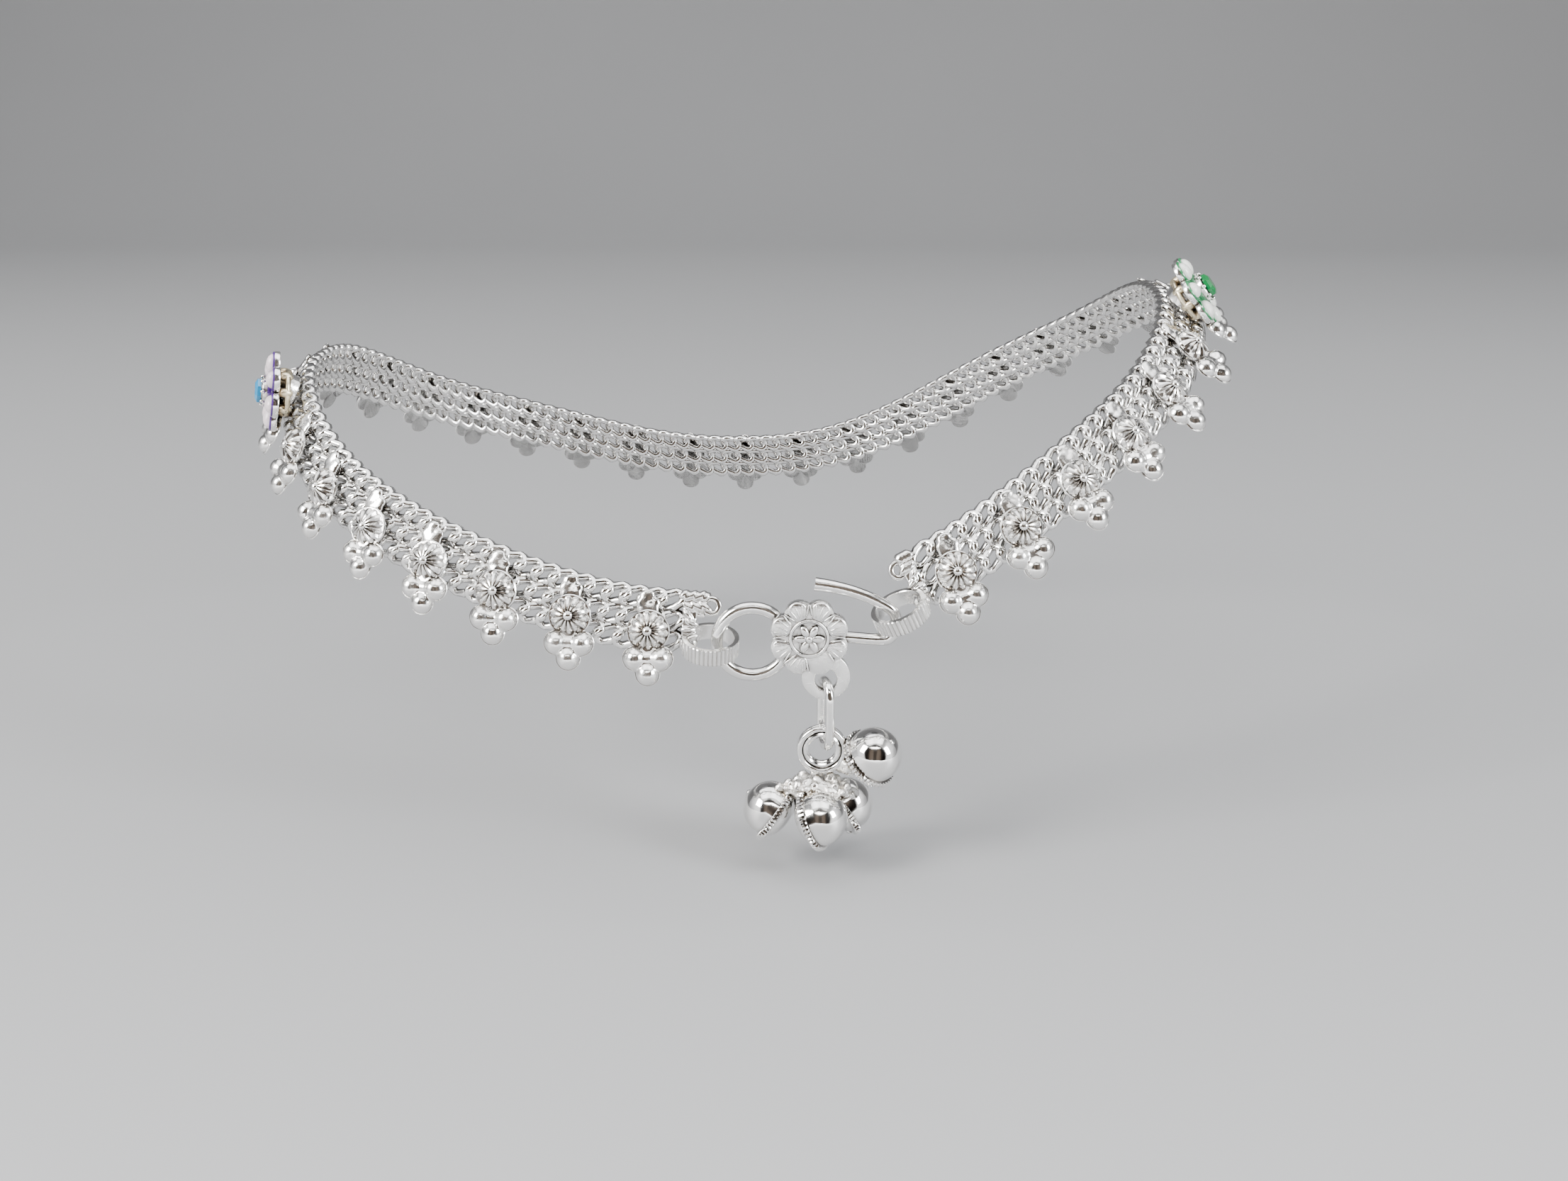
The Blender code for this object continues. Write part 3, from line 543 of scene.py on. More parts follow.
def makeChain(look):
    link = makeLink(look)
    count = round((instepStart - heelStart) / look["pitch"])
    for row in range(bandShape["rows"]):
        down = (row - (bandShape["rows"] - 1) / 2) * bandShape["rowSpacing"]
        links = []
        for i in range(count):
            spot = heelStart + (instepStart - heelStart) * (i + 0.5) / count
            links.append(twin(link, bandFrame(spot) @ shift(y=down)))
        piece = joined(f"chainRow_{row + 1}", links)
        makeActive(piece)
        bpy.ops.object.shade_smooth()
        coated(piece, finishes["wireSilver"])
        handOver(piece, "root", "band_silver", "chain_band")
        print("chain row", row + 1, "of", count, "links")
    bpy.data.objects.remove(link, do_unlink=True)


makeChain(chainLook)


# Rosettes, each with three beads cast below it

rosetteLook = {
    "radius": 1.92 * mm, "height": 1.22 * mm, "flutes": 14,
    # from and to height shares, then how far the groove goes in across and down
    "grooves": ((0.42, 1.1, 0.90, 0.86), (0.14, 0.38, 0.955, 0.93)),
    "plainMiddle": 0.15, "rim": 2.0 * mm, "rimHeight": 0.32 * mm, "rimRound": 0.09 * mm,
    "button": 0.45 * mm, "buttonFlat": 0.62,
    "bead": 1.12 * mm, "beadHeight": 1.10 * mm, "beadOut": 0.05 * mm,
    "flange": 1.2 * mm, "flangeHeight": 0.24 * mm, "flangeRound": 0.07 * mm,
    "upperDown": 2.55 * mm, "lowerDown": 3.95 * mm, "spread": 1.2 * mm, "neckDown": 1.55 * mm,
    # webs between the beads, in mm: half sizes across, down and out, then how far out the middle lies
    "webs": ((1.0, 0.9, 0.62, 0.12), (1.1, 0.72, 0.74, 0.1), (1.05, 1.0, 0.5, 0.08)),
    # solder tongue, in mm: place across, down and out, half sizes, then its turn in radians
    "tongue": ((0.05, -1.95, -0.15, 1.05, 0.95, 0.32, 0.0), (0.45, -2.7, -0.22, 0.85, 0.62, 0.30, 0.6),
               (-0.45, -2.65, -0.26, 0.7, 0.6, 0.27, -0.5), (0.15, -3.4, -0.28, 0.75, 0.5, 0.27, 0.2)),
    "melt": 0.15 * mm,
}


def makeFlutedDome(look):
    segments = 3 * look["flutes"]
    dome = ball(1.0, (0, 0, 0), (look["radius"], look["radius"], look["height"]), segments, 14)
    cutBelow(dome, 0.0)
    step = 2 * math.pi / segments

    def inGroove(point, low, high):
        flat = math.hypot(point.co.x, point.co.y)
        if flat < look["plainMiddle"] * look["radius"] or not low < point.co.z / look["height"] < high:
            return False
        return round(math.atan2(point.co.y, point.co.x) / step) % 3 == 0

    for low, high, across, down in look["grooves"]:
        rescale(dome, lambda point: inGroove(point, low, high), (across, across, down))
    return dome


def makeBeads(look):
    # Three domes and the webs between them melted together, with thin flanges behind them
    spots = (
        (-look["spread"], look["upperDown"]),
        (look["spread"], look["upperDown"]),
        (0, look["lowerDown"]),
    )
    flatter = look["beadHeight"] / look["bead"]
    domes = [ball(look["bead"], (*spot, look["beadOut"]), (1, 1, flatter), 24, 14) for spot in spots]
    flanges = [bevelled(drum(look["flange"], 0.0, look["flangeHeight"], 22, spot), look["flangeRound"], 1)
               for spot in spots]
    middle = (2 * look["upperDown"] + look["lowerDown"]) / 3
    for down, (*half, out) in zip((middle, look["upperDown"], look["neckDown"]), look["webs"]):
        domes.append(ball(mm, (0, down, out * mm), half, 16, 10))
    melted = fused(joined("beads", domes), look["melt"], 3)
    return [cutBelow(melted, 0.0)] + flanges


def makeTongue(look):
    # Smooth solder that runs from the dome up over the chain
    parts = []
    for x, y, z, across, down, out, turn in look["tongue"]:
        parts.append(ball(mm, (x * mm, y * mm, z * mm), (across, down, out), 16, 10, (0, 0, turn)))
    return fused(joined("tongue", parts), look["melt"], 4)


def makeRosette(look):
    parts = [makeFlutedDome(look), makeTongue(look)]
    parts.append(bevelled(drum(look["rim"], 0.0, look["rimHeight"], 36), look["rimRound"], 1))
    top = look["height"] * 0.97  # the button sinks a little into the dome
    parts.append(ball(look["button"], (0, 0, top), (1, 1, look["buttonFlat"]), 12, 8))
    parts += makeBeads(look)
    return smoothed(joined("rosette", parts), 38)


def placeRosettes(look):
    rosette = coated(makeRosette(look), finishes["castSilver"])
    number = 0
    jewelPlaces = (bandShape["heelJewel"], len(units) - 1 - bandShape["instepJewel"])
    for i, length in enumerate(units):
        if i in jewelPlaces:
            continue
        number += 1
        matrix = bandFrame(length)
        seat = matrix @ shift(y=bandShape["rosetteBelow"], z=faceLevel) @ plumbLean(matrix)
        piece = twin(rosette, seat)
        piece.name = f"rosette_{number:02d}"
        handOver(piece, "root", "rosette_silver", f"rosette_drop_{number:02d}")
    bpy.data.objects.remove(rosette, do_unlink=True)
    print("rosettes placed:", number)


placeRosettes(rosetteLook)


# Flower jewels

jewelLook = {
    "aboveMiddle": 1.0 * mm, "tilt": math.radians(-20), "stand": 1.5 * mm, "plate": 0.6 * mm,
    "petals": 7, "petalRing": 2.85 * mm, "edge": 1.38 * mm, "edgeRound": 0.12 * mm,
    "line": 1.30 * mm, "lineFrom": -0.22 * mm, "lineTo": 0.16 * mm, "lineRound": 0.06 * mm,
    "pillow": 0.94 * mm, "pillowShape": (1.15, 0.92, 0.72), "pillowAbove": 0.1 * mm,
    "centre": 2.9 * mm, "collet": 1.5 * mm, "colletWall": 0.2 * mm, "colletHeight": 0.72 * mm,
    "colletRoot": 0.2 * mm, "colletLip": 0.25 * mm, "bedWider": 1.25, "bedHeight": 0.5 * mm,
    "claws": 8, "claw": 0.22 * mm, "clawAbove": 0.22 * mm,
    "strut": 0.62 * mm, "strutShape": (0.8, 0.8, 1.3), "strutRing": 2.1 * mm, "hoop": 2.2 * mm,
    "hoopWire": 0.3 * mm, "foot": 1.85 * mm, "footShare": 0.7,
}


def makeJewel(name, length, body, lineFinish, petalFinish, slot):
    look = jewelLook
    matrix = bandFrame(length)
    seat = matrix @ shift(y=-look["aboveMiddle"], z=faceLevel)
    head = seat @ turned(look["tilt"], "X")
    top = look["stand"] + look["plate"]
    root, pillowLow = top - look["colletRoot"], top + look["pillowAbove"]
    edges, lines, pillows, struts = [], [], [], []
    for i in range(look["petals"]):
        angle = 2 * math.pi * (i + 0.5) / look["petals"]
        spot = around(look["petalRing"], angle)
        edges.append(bevelled(drum(look["edge"], look["stand"], top, 22, spot), look["edgeRound"], 2))
        line = drum(look["line"], top + look["lineFrom"], top + look["lineTo"], 22, spot)
        lines.append(bevelled(line, look["lineRound"], 1))
        pillow = ball(look["pillow"], (*spot, pillowLow), look["pillowShape"], 20, 12, (0, 0, angle))
        pillows.append(cutBelow(pillow, pillowLow))
    plate = drum(look["centre"], look["stand"] + 0.05 * mm, top - 0.03 * mm, 32)  # off the petals' planes
    edges.append(bevelled(plate, 0.1 * mm, 1))
    bed = drum(look["collet"] * look["bedWider"], root, top + look["bedHeight"], 28)
    lines.append(bevelled(bed, look["edgeRound"], 2))
    collet = flatRing(look["collet"], look["collet"] - look["colletWall"], root,
                      top + look["colletHeight"] + look["colletLip"], 28)
    edges.append(bevelled(collet, 0.05 * mm, 1))
    for i in range(look["claws"]):
        spot = around(look["collet"] * 0.95, 2 * math.pi * (i + 0.5) / look["claws"])
        height = top + look["colletHeight"] + look["clawAbove"]
        edges.append(ball(look["claw"], (*spot, height), (1, 1, 1.2), 10, 6))
    for i in range(look["petals"]):  # struts and a hoop behind the flower
        spot = around(look["strutRing"], 2 * math.pi * i / look["petals"])
        struts.append(ball(look["strut"], (*spot, look["stand"] * 0.62), look["strutShape"], 12, 8))
    struts.append(ringTube(look["hoop"], look["hoopWire"], (0, 0, look["stand"] * 0.45), 32, 8))
    for part in edges + lines + pillows + struts:
        moved(part, head)
    below = matrix @ shift(y=bandShape["rosetteBelow"], z=faceLevel) @ plumbLean(matrix)
    footDrum = drum(look["foot"], 0.0, look["stand"] * look["footShare"], 24)
    foot = [moved(bevelled(footDrum, 0.1 * mm, 1), seat)]
    hang = [moved(part, below) for part in makeBeads(rosetteLook)]
    setting = coated(smoothed(joined(name + "Setting", edges + foot + hang), 40), finishes["castSilver"])
    handOver(setting, "root", slot, body)
    outline = coated(smoothed(joined(name + "Line", lines), 40), finishes[lineFinish])
    petals = coated(smoothed(joined(name + "Petals", pillows), 60), finishes[petalFinish])
    back = coated(smoothed(joined(name + "Back", struts), 50), finishes["giltSilver"])
    for piece in (outline, petals, back):
        handOver(piece, "root", slot)
    print(name, "made")


makeJewel("heelFlower", units[bandShape["heelJewel"]], "jewel_heel_setting", "violetEnamel", "whiteEnamel",
          "jewel_heel_silver")
makeJewel("instepFlower", units[len(units) - 1 - bandShape["instepJewel"]], "jewel_instep_setting",
          "greenEnamel", "paleEnamel", "jewel_instep_silver")
for node, finish in (("jewel_heel_stone", "blueStone"), ("jewel_instep_stone", "greenStone")):
    coated(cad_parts[node], finishes[finish])


# Cast end pieces with their reeded rings

endLook = {
    "thickness": 1.1 * mm, "lengthHeel": 3.6 * mm, "lengthInstep": 2.5 * mm,
    "eyeRadius": 0.98 * mm, "eyeHole": 0.45 * mm, "waveHeight": 0.25 * mm,
    "lug": 1.3 * mm, "ringAlongHeel": 2.75 * mm, "ringAlongInstep": 3.3 * mm, "ringDown": 1.9 * mm,
    "ringInner": 2.2 * mm, "ringWall": 0.5 * mm, "ringHeight": 1.6 * mm, "ringTilt": math.radians(-30),
    "ringRound": 0.06 * mm, "reeds": 40, "reedDepth": 0.955, "hookOutward": 0.9 * mm,
    "plateShort": 0.9 * mm, "plateDown": 0.2 * mm,
    "webGap": 0.15 * mm, "webDown": 0.25 * mm, "webHeight": 1.7 * mm, "webThinner": 0.7,
    # lobes along the wavy top edge, each with a leaf below it; every second one is lower
    "lobes": 6, "lobe": 0.62 * mm, "lobeShape": (0.66, 1.1, 1.05), "lobeTurn": 0.7, "lobeOut": 0.1 * mm,
    "lobeDowns": (0.34 * mm, 0.5 * mm), "lobesStop": 1.55,
    "leaf": 0.6 * mm, "leafShape": (0.5, 1.15, 0.85), "leafTurn": -0.8,
    "leafAway": 0.25 * mm, "leafDown": 0.95 * mm,
    # veins on the face, from the top down
    "veins": 5, "vein": 0.56 * mm, "veinShape": (1.35, 0.5, 0.75), "veinAways": (0.5 * mm, 0.95 * mm),
    "veinTop": -0.7 * mm, "veinPitch": 0.7 * mm, "veinTurn": 0.8, "veinTurnStep": -0.4,
    # lumps that join the plate to the ring
    "neck": 0.66 * mm, "neckShape": (1.45, 1.15, 0.9), "joint": 0.56 * mm, "jointShape": (1.0, 1.3, 1.1),
    "melt": 0.1 * mm,
}
bandHalf = bandShape["rows"] * bandShape["rowSpacing"] / 2


def hookPlane():
    middle = bandFrame(routeReach[routeSteps // 4] - bandShape["claspOffset"])
    return (middle @ Vector((0, endLook["ringDown"], 0))).y - endLook["hookOutward"] / 2


def ringPlace(start, side, along):
    matrix = bandFrame(start)
    centre = matrix @ Vector((side * (bandShape["seatGap"] + along), endLook["ringDown"], 0))
    face = matrix.col[2].to_3d()
    centre += face * ((hookPlane() - centre.y) / face.y)
    spot = matrix.copy()
    spot.translation = centre
    return spot @ turned(endLook["ringTilt"], "X")


def makeReededRing(look):
    half = look["ringHeight"] / 2
    outer = look["ringInner"] + look["ringWall"]
    ring = flatRing(outer, look["ringInner"], -half, half, 3 * look["reeds"])
    bevelled(ring, look["ringRound"], 1)
    step = 2 * math.pi / (3 * look["reeds"])

    def inGroove(point):
        flat = math.hypot(point.co.x, point.co.y)
        if flat < outer - 0.08 * mm or abs(point.co.z) > half - 0.02 * mm:
            return False
        return round(math.atan2(point.co.y, point.co.x) / step) % 3 == 0

    return rescale(ring, inGroove, (look["reedDepth"], look["reedDepth"], 1))


def makeEnd(name, start, side, length, along, node, slot):
    look = endLook
    matrix = bandFrame(start) @ shift(x=side * bandShape["seatGap"])
    half = look["thickness"] / 2
    eyeDown = bandHalf - look["eyeRadius"] - look["waveHeight"]
    eyeAt = (side * (length - look["eyeRadius"]), -eyeDown)
    # plate against the chain, with a lower web out to the eye
    plate = (look["lug"], 2 * bandHalf - look["plateShort"], look["thickness"])
    parts = [block((side * look["lug"] / 2, look["plateDown"], 0), plate)]
    web = abs(eyeAt[0]) - look["eyeHole"] - look["webGap"]
    parts.append(block((side * web / 2, eyeAt[1] + look["webDown"], 0),
                       (web, look["webHeight"], look["thickness"] * look["webThinner"])))
    reach = length - look["lobesStop"] * look["eyeRadius"]
    for i in range(look["lobes"]):
        away = side * reach * i / (look["lobes"] - 1)
        down = look["lobeDowns"][i % 2] - bandHalf
        parts.append(ball(look["lobe"], (away, down, look["lobeOut"]), look["lobeShape"], 14, 8,
                          (0, 0, side * look["lobeTurn"])))
        leaf = (away + side * look["leafAway"], down + look["leafDown"], half * 0.45)
        parts.append(ball(look["leaf"], leaf, look["leafShape"], 14, 8, (0, 0, side * look["leafTurn"])))
    for i in range(look["veins"]):
        place = (side * look["veinAways"][i % 2], look["veinTop"] + look["veinPitch"] * i, half * 0.8)
        turn = side * (look["veinTurn"] + look["veinTurnStep"] * i)
        parts.append(ball(look["vein"], place, look["veinShape"], 14, 8, (0, 0, turn)))
    eye = flatRing(look["eyeRadius"], look["eyeHole"], -half * 0.85, half * 0.85, 28, eyeAt)
    bevelled(eye, 0.2 * mm, 3)
    ringFrame = ringPlace(start, side, along)
    local = matrix.inverted() @ ringFrame
    spot = local.translation
    lugEnd = spot.x - side * (look["ringInner"] + look["ringWall"] / 2)
    neckAt = ((side * look["lug"] * 0.8 + lugEnd) / 2, spot.y, spot.z / 2)
    parts.append(ball(look["neck"], neckAt, look["neckShape"], 16, 10))
    parts.append(ball(look["joint"], (lugEnd, spot.y, spot.z), look["jointShape"], 16, 10))
    cast = fused(joined("cast", parts), look["melt"], 2)
    ring = moved(makeReededRing(look), local @ turned(math.pi / 2, "X"))
    whole = moved(joined(name, [cast, eye, ring]), matrix)
    coated(smoothed(whole, 40), finishes["castSilver"])
    handOver(whole, "root", slot, node)
    print(name, "made")
    return ringFrame


heelRing = makeEnd("endHeel", heelStart, -1, endLook["lengthHeel"], endLook["ringAlongHeel"],
                   "end_piece_heel", "end_piece_heel_silver")
instepRing = makeEnd("endInstep", instepStart, 1, endLook["lengthInstep"], endLook["ringAlongInstep"],
                     "end_piece_instep", "end_piece_instep_silver")


# Clasp hook: closed loop, hook wire, flower plaque and eye

hookLook = {
    "wire": 0.57 * mm, "loopWire": 0.6 * mm, "loopRadius": 3.3 * mm, "loopPlay": 1.0 * mm,
    "loopAbove": 0.28 * mm, "plaqueAlong": 5.25 * mm, "plaqueAbove": 0.74 * mm,
    "plaqueRadius": 3.75 * mm, "plaqueThickness": 0.9 * mm, "solderDepth": 0.15 * mm,
    "disc": 2.75 * mm, "discRound": 0.1 * mm, "petals": 8, "plainPetal": 6, "petalRadius": 1.38 * mm,
    "petalRound": 0.14 * mm, "planeStep": 0.02 * mm, "planeDrop": 0.05 * mm,
    "reliefRing": 2.72 * mm, "relief": 0.98 * mm, "reliefFlat": 0.24,
    "strokes": 5, "stroke": 0.62 * mm, "strokeShape": (1.0, 0.15, 0.16), "strokeAbove": 0.14 * mm,
    "strokeSpread": math.radians(9.5), "strokeFan": 1.8, "innerRing": 1.72 * mm, "innerWire": 0.17 * mm,
    "floretPetals": 6, "floretRing": 0.78 * mm, "floretPetal": 0.55 * mm, "floretShape": (1.15, 0.62, 0.36),
    "floretAbove": 0.2 * mm, "floretMiddle": 0.34 * mm, "middleAbove": 0.28 * mm,
    "clearance": 0.5 * mm, "sweep": math.radians(130), "knee": 0.45,
    "tip": (0.5 * mm, 0.0, 4.85 * mm), "tipSwell": 1.2,
    "eye": (1.56 * mm, 0.0, -4.08 * mm), "eyeHole": 1.05 * mm, "eyeRim": 0.95 * mm,
    "tabWider": 1.14,
}


def arcPoints(centre, radius, start, sweep, steps):
    points = []
    for i in range(steps + 1):
        angle = start + sweep * i / steps
        points.append(centre + Vector((radius * math.cos(angle), 0, radius * math.sin(angle))))
    return points


def smoothLine(points, rounds=3):
    # Rounds the corners of a line while its ends stay
    for _ in range(rounds):
        finer = [points[0]]
        for a, b in zip(points, points[1:]):
            finer += [a.lerp(b, 0.25), a.lerp(b, 0.75)]
        points = finer + [points[-1]]
    return points


def hookLine(plaque, ring, look):
    toward = ring.col[0].to_3d()
    toward.y = 0
    toward.normalize()
    wall = ring.translation + toward * (endLook["ringInner"] + endLook["ringWall"] / 2)
    radius = endLook["ringHeight"] / 2 + look["clearance"] + look["wire"]
    farSide = math.atan2(-toward.z, -toward.x)
    bend = arcPoints(wall, radius, farSide - math.pi / 2, look["sweep"], 8)
    tip = plaque + Vector(look["tip"])
    direction = (bend[-1] - bend[-2]).normalized()
    knee = bend[-1] + direction * (tip - bend[-1]).length * look["knee"]
    line = [plaque, plaque.lerp(bend[0], look["knee"])] + bend
    for i in range(1, 7):
        t = i / 6
        line.append((1 - t) ** 2 * bend[-1] + 2 * t * (1 - t) * knee + t * t * tip)
    return smoothLine(line, 2)


def makePlaque(look):
    # Lies flat with its face up, and is turned upright at the end
    back = look["wire"] - look["solderDepth"]
    front = back + look["plaqueThickness"]
    base = front - look["planeDrop"]
    disc = drum(look["disc"], back - 0.03 * mm, front - 0.03 * mm, 40)
    parts = [bevelled(disc, look["discRound"], 2)]
    for i in range(look["petals"]):
        angle = 2 * math.pi * (i + 0.5) / look["petals"]
        spot = around(look["plaqueRadius"] - look["petalRadius"], angle)
        step = look["planeStep"] * (i % 2)  # neighbours don't share a plane
        petal = drum(look["petalRadius"], back + step, front - step, 28, spot)
        parts.append(bevelled(petal, look["petalRound"], 2))
        if i == look["plainPetal"]:
            continue
        middle = (*around(look["reliefRing"], angle), base)
        relief = ball(look["relief"], middle, (1, 1, look["reliefFlat"]), 20, 12)
        parts.append(cutBelow(relief, base))
        for k in range(look["strokes"]):  # strokes fan out from the petal's root
            away = k - (look["strokes"] - 1) / 2
            spread = away * look["strokeSpread"]
            height = front + look["strokeAbove"] - look["planeStep"] * abs(away)
            parts.append(ball(look["stroke"], (*around(look["reliefRing"], angle + spread), height),
                              look["strokeShape"], 12, 6, (0, 0, angle + spread * look["strokeFan"])))
    parts.append(ringTube(look["innerRing"], look["innerWire"], (0, 0, front + 0.03 * mm), 56, 12))
    for i in range(look["floretPetals"]):  # plain floret in the middle
        angle = 2 * math.pi * i / look["floretPetals"]
        spot = (*around(look["floretRing"], angle), front + look["floretAbove"])
        parts.append(ball(look["floretPetal"], spot, look["floretShape"], 14, 8, (0, 0, angle)))
    parts.append(ball(look["floretMiddle"], (0, 0, front + look["middleAbove"]), (1, 1, 0.7), 14, 8))
    spot = (look["eye"][0], look["eye"][2])
    rim = look["eyeHole"] + look["eyeRim"]
    tab = flatRing(rim, look["eyeHole"], back + look["planeDrop"], base, 44, spot)
    pick(tab, "VERT", lambda point: math.dist(point.co[:2], spot) > rim - 0.1 * mm)
    bpy.ops.transform.resize(value=(look["tabWider"], look["tabWider"], 1), center_override=(*spot, 0))
    bpy.ops.transform.translate(value=(0, rim * (look["tabWider"] - 1), 0))  # its lower edge stays
    leaveEdit()
    parts.append(bevelled(tab, look["petalRound"], 3))
    return parts


def makeHook(look):
    reach = endLook["ringInner"] - look["loopPlay"] - look["loopWire"]
    loopCentre = heelRing.translation + Vector((reach + look["loopRadius"], 0, look["loopAbove"]))
    plaque = loopCentre + Vector((look["plaqueAlong"], 0, look["plaqueAbove"]))
    loop = ringTube(look["loopRadius"], look["loopWire"], loopCentre, 64, 14, (math.pi / 2, 0, 0))
    wire = wireAlong(hookLine(plaque, instepRing, look), look["wire"], sides=4, swell=look["tipSwell"])
    shank = smoothed(joined("hookWire", [loop, wire]), 50)
    coated(shank, finishes["wireSilver"])
    handOver(shank, "root", "hook_silver", "clasp_hook")
    plate = joined("hookPlaque", makePlaque(look))
    moved(plate, Matrix.Translation(plaque) @ turned(math.pi / 2, "X"))
    coated(smoothed(plate, 35), finishes["brushedSilver"])
    handOver(plate, "root", "hook_silver")
    eye = plaque + Vector(look["eye"])
    eye.y -= look["wire"] - look["solderDepth"] + look["plaqueThickness"] / 2
    print("clasp hook made")
    return eye


eyeCentre = makeHook(hookLook)


# Long link in the eye

linkLook = {
    "wire": 0.45 * mm, "innerLength": 5.5 * mm, "innerRadius": 1.1 * mm, "gap": 0.3 * mm,
    "turn": math.radians(14),
}


def makeDropLink(look):
    rim = hookLook["eyeRim"] / 2
    pivot = eyeCentre - Vector((0, 0, hookLook["eyeHole"] + rim))
    top = rim + look["gap"]
    bow = look["innerRadius"] + look["wire"]
    upper = top - look["innerRadius"]
    lower = top - look["innerLength"] + look["innerRadius"]
    points = []
    for centre, start in ((upper, 0.0), (lower, math.pi)):
        for i in range(17):
            angle = start + math.pi * i / 16
            points.append(pivot + Vector((0, bow * math.cos(angle), centre + bow * math.sin(angle))))
    link = wireAlong(points, look["wire"], closed=True, sides=4)
    moved(link, Matrix.Translation(pivot) @ turned(look["turn"], "Z") @ Matrix.Translation(-pivot))
    link = coated(smoothed(joined("dropLink", [link]), 60), finishes["wireSilver"])
    handOver(link, "link", "link_silver", "drop_link")
    print("drop link made")
    return pivot + Vector((0, 0, lower - bow))


hang = makeDropLink(linkLook)


# Cluster of bells under a double ring

bellLook = {
    "radius": 2.62 * mm, "dome": 3.38 * mm, "back": 1.45 * mm, "flange": 2.94 * mm, "flangeHeight": 0.62 * mm,
    "teeth": 44, "toothIn": 0.945, "slit": 0.22 * mm,
    "flangeRound": 0.07 * mm, "slitDepth": 0.45 * mm, "nub": 0.3 * mm, "tab": 0.42 * mm,
    "ringInner": 1.25 * mm, "ringOuter": 2.4 * mm, "turnWire": 0.3 * mm, "ringSideways": 0.3 * mm,
    "unit": 2.65 * mm, "grains": 90, "grain": (0.36 * mm, 0.14 * mm), "grainReach": (0.84, 0.14),
    "melt": 0.13 * mm, "roughSize": 0.4 * mm, "rough": 0.3 * mm,
}
# across, outward and down as shares of the unit, then the turn and rise of the dome in degrees
bellPlaces = {
    "left": (-1.62, -0.10, 2.55, 167, 34),
    "middle": (-0.33, 0.75, 2.45, 349, 24),
    "right": (0.68, -0.68, 2.68, 25, 30),
    "upper": (1.68, 0.10, 0.33, 326, 43),
}
# place and size as shares of the same unit
solderPlaces = {
    "solder": ((-0.20, 0, -1.52), (1.36, 0.78, 0.50)),
    "bridge": ((1.0, 0, -0.62), (0.46, 0.30, 0.26)),
}


def makeBell(look):
    parts = []
    dome = cutBelow(ball(look["radius"], (0, 0, 0), (1, 1, 1), 48, 28), 0.0)
    pick(dome, "VERT", lambda point: point.co.z > 0.01 * mm)
    bpy.ops.transform.translate(value=(0, 0, look["dome"] - look["radius"]))
    leaveEdit()
    parts.append(dome)
    half = look["flangeHeight"] / 2
    flange = bevelled(drum(look["flange"], -half, half, 3 * look["teeth"]), look["flangeRound"], 1)
    step = 2 * math.pi / (3 * look["teeth"])

    def inGroove(point):
        onEdge = math.hypot(point.co.x, point.co.y) > look["flange"] - 0.09 * mm
        return onEdge and round(math.atan2(point.co.y, point.co.x) / step) % 3 == 0

    parts.append(rescale(flange, inGroove, (look["toothIn"], look["toothIn"], 1)))
    back = ball(1.0, (0, 0, 0), (look["radius"] * 0.97, look["radius"] * 0.97, look["back"]), 40, 24)
    back = moved(cutBelow(moved(back, turned(math.pi, "X")), 0.0), turned(math.pi, "X"))
    slitTop = -0.35 * look["back"]
    pick(back, "FACE", lambda face: face.center.z < slitTop and abs(face.center.y) < look["slit"])
    bpy.ops.mesh.extrude_region_shrink_fatten(TRANSFORM_OT_shrink_fatten={"value": -look["slitDepth"]})
    leaveEdit()
    parts.append(back)
    parts.append(ball(look["nub"], (0, 0, look["dome"] * 0.985), (1, 1, 0.55), 12, 8))  # on the crown
    parts.append(ball(look["tab"], (look["flange"] * 0.94, 0, -half), (0.7, 1.1, 0.9), 12, 8))
    return smoothed(joined("bell", parts), 35)


def makeSolder(name, place, size, look):
    # Grains set round an oval by the golden angle and melted together
    grains = [ball(look["unit"], place, [0.86 * share for share in size], 24, 14)]
    (least, more), (near, further) = look["grain"], look["grainReach"]
    for i in range(look["grains"]):
        height = 1 - 2 * (i + 0.5) / look["grains"]
        flat = math.sqrt(1 - height * height)
        across, out = around(flat, i * math.pi * (3 - math.sqrt(5)))
        reach = look["unit"] * (near + further * math.sin(7.3 * i))  # uneven, the same each run
        spot = place + Vector((size[0] * across, size[1] * height, size[2] * out)) * reach
        deselectAll()
        bpy.ops.mesh.primitive_ico_sphere_add(subdivisions=2, radius=least + more * math.sin(3.1 * i),
                                              location=spot)
        grains.append(settled())
    lump = fused(joined(name, grains), look["melt"], 1)
    clouds = bpy.data.textures.new(name, "CLOUDS")
    clouds.noise_scale = look["roughSize"]
    modifier = lump.modifiers.new("Grain", "DISPLACE")
    modifier.texture = clouds
    modifier.strength = look["rough"]
    modifier.mid_level = 0.55
    bpy.ops.object.modifier_apply(modifier=modifier.name)
    return lump


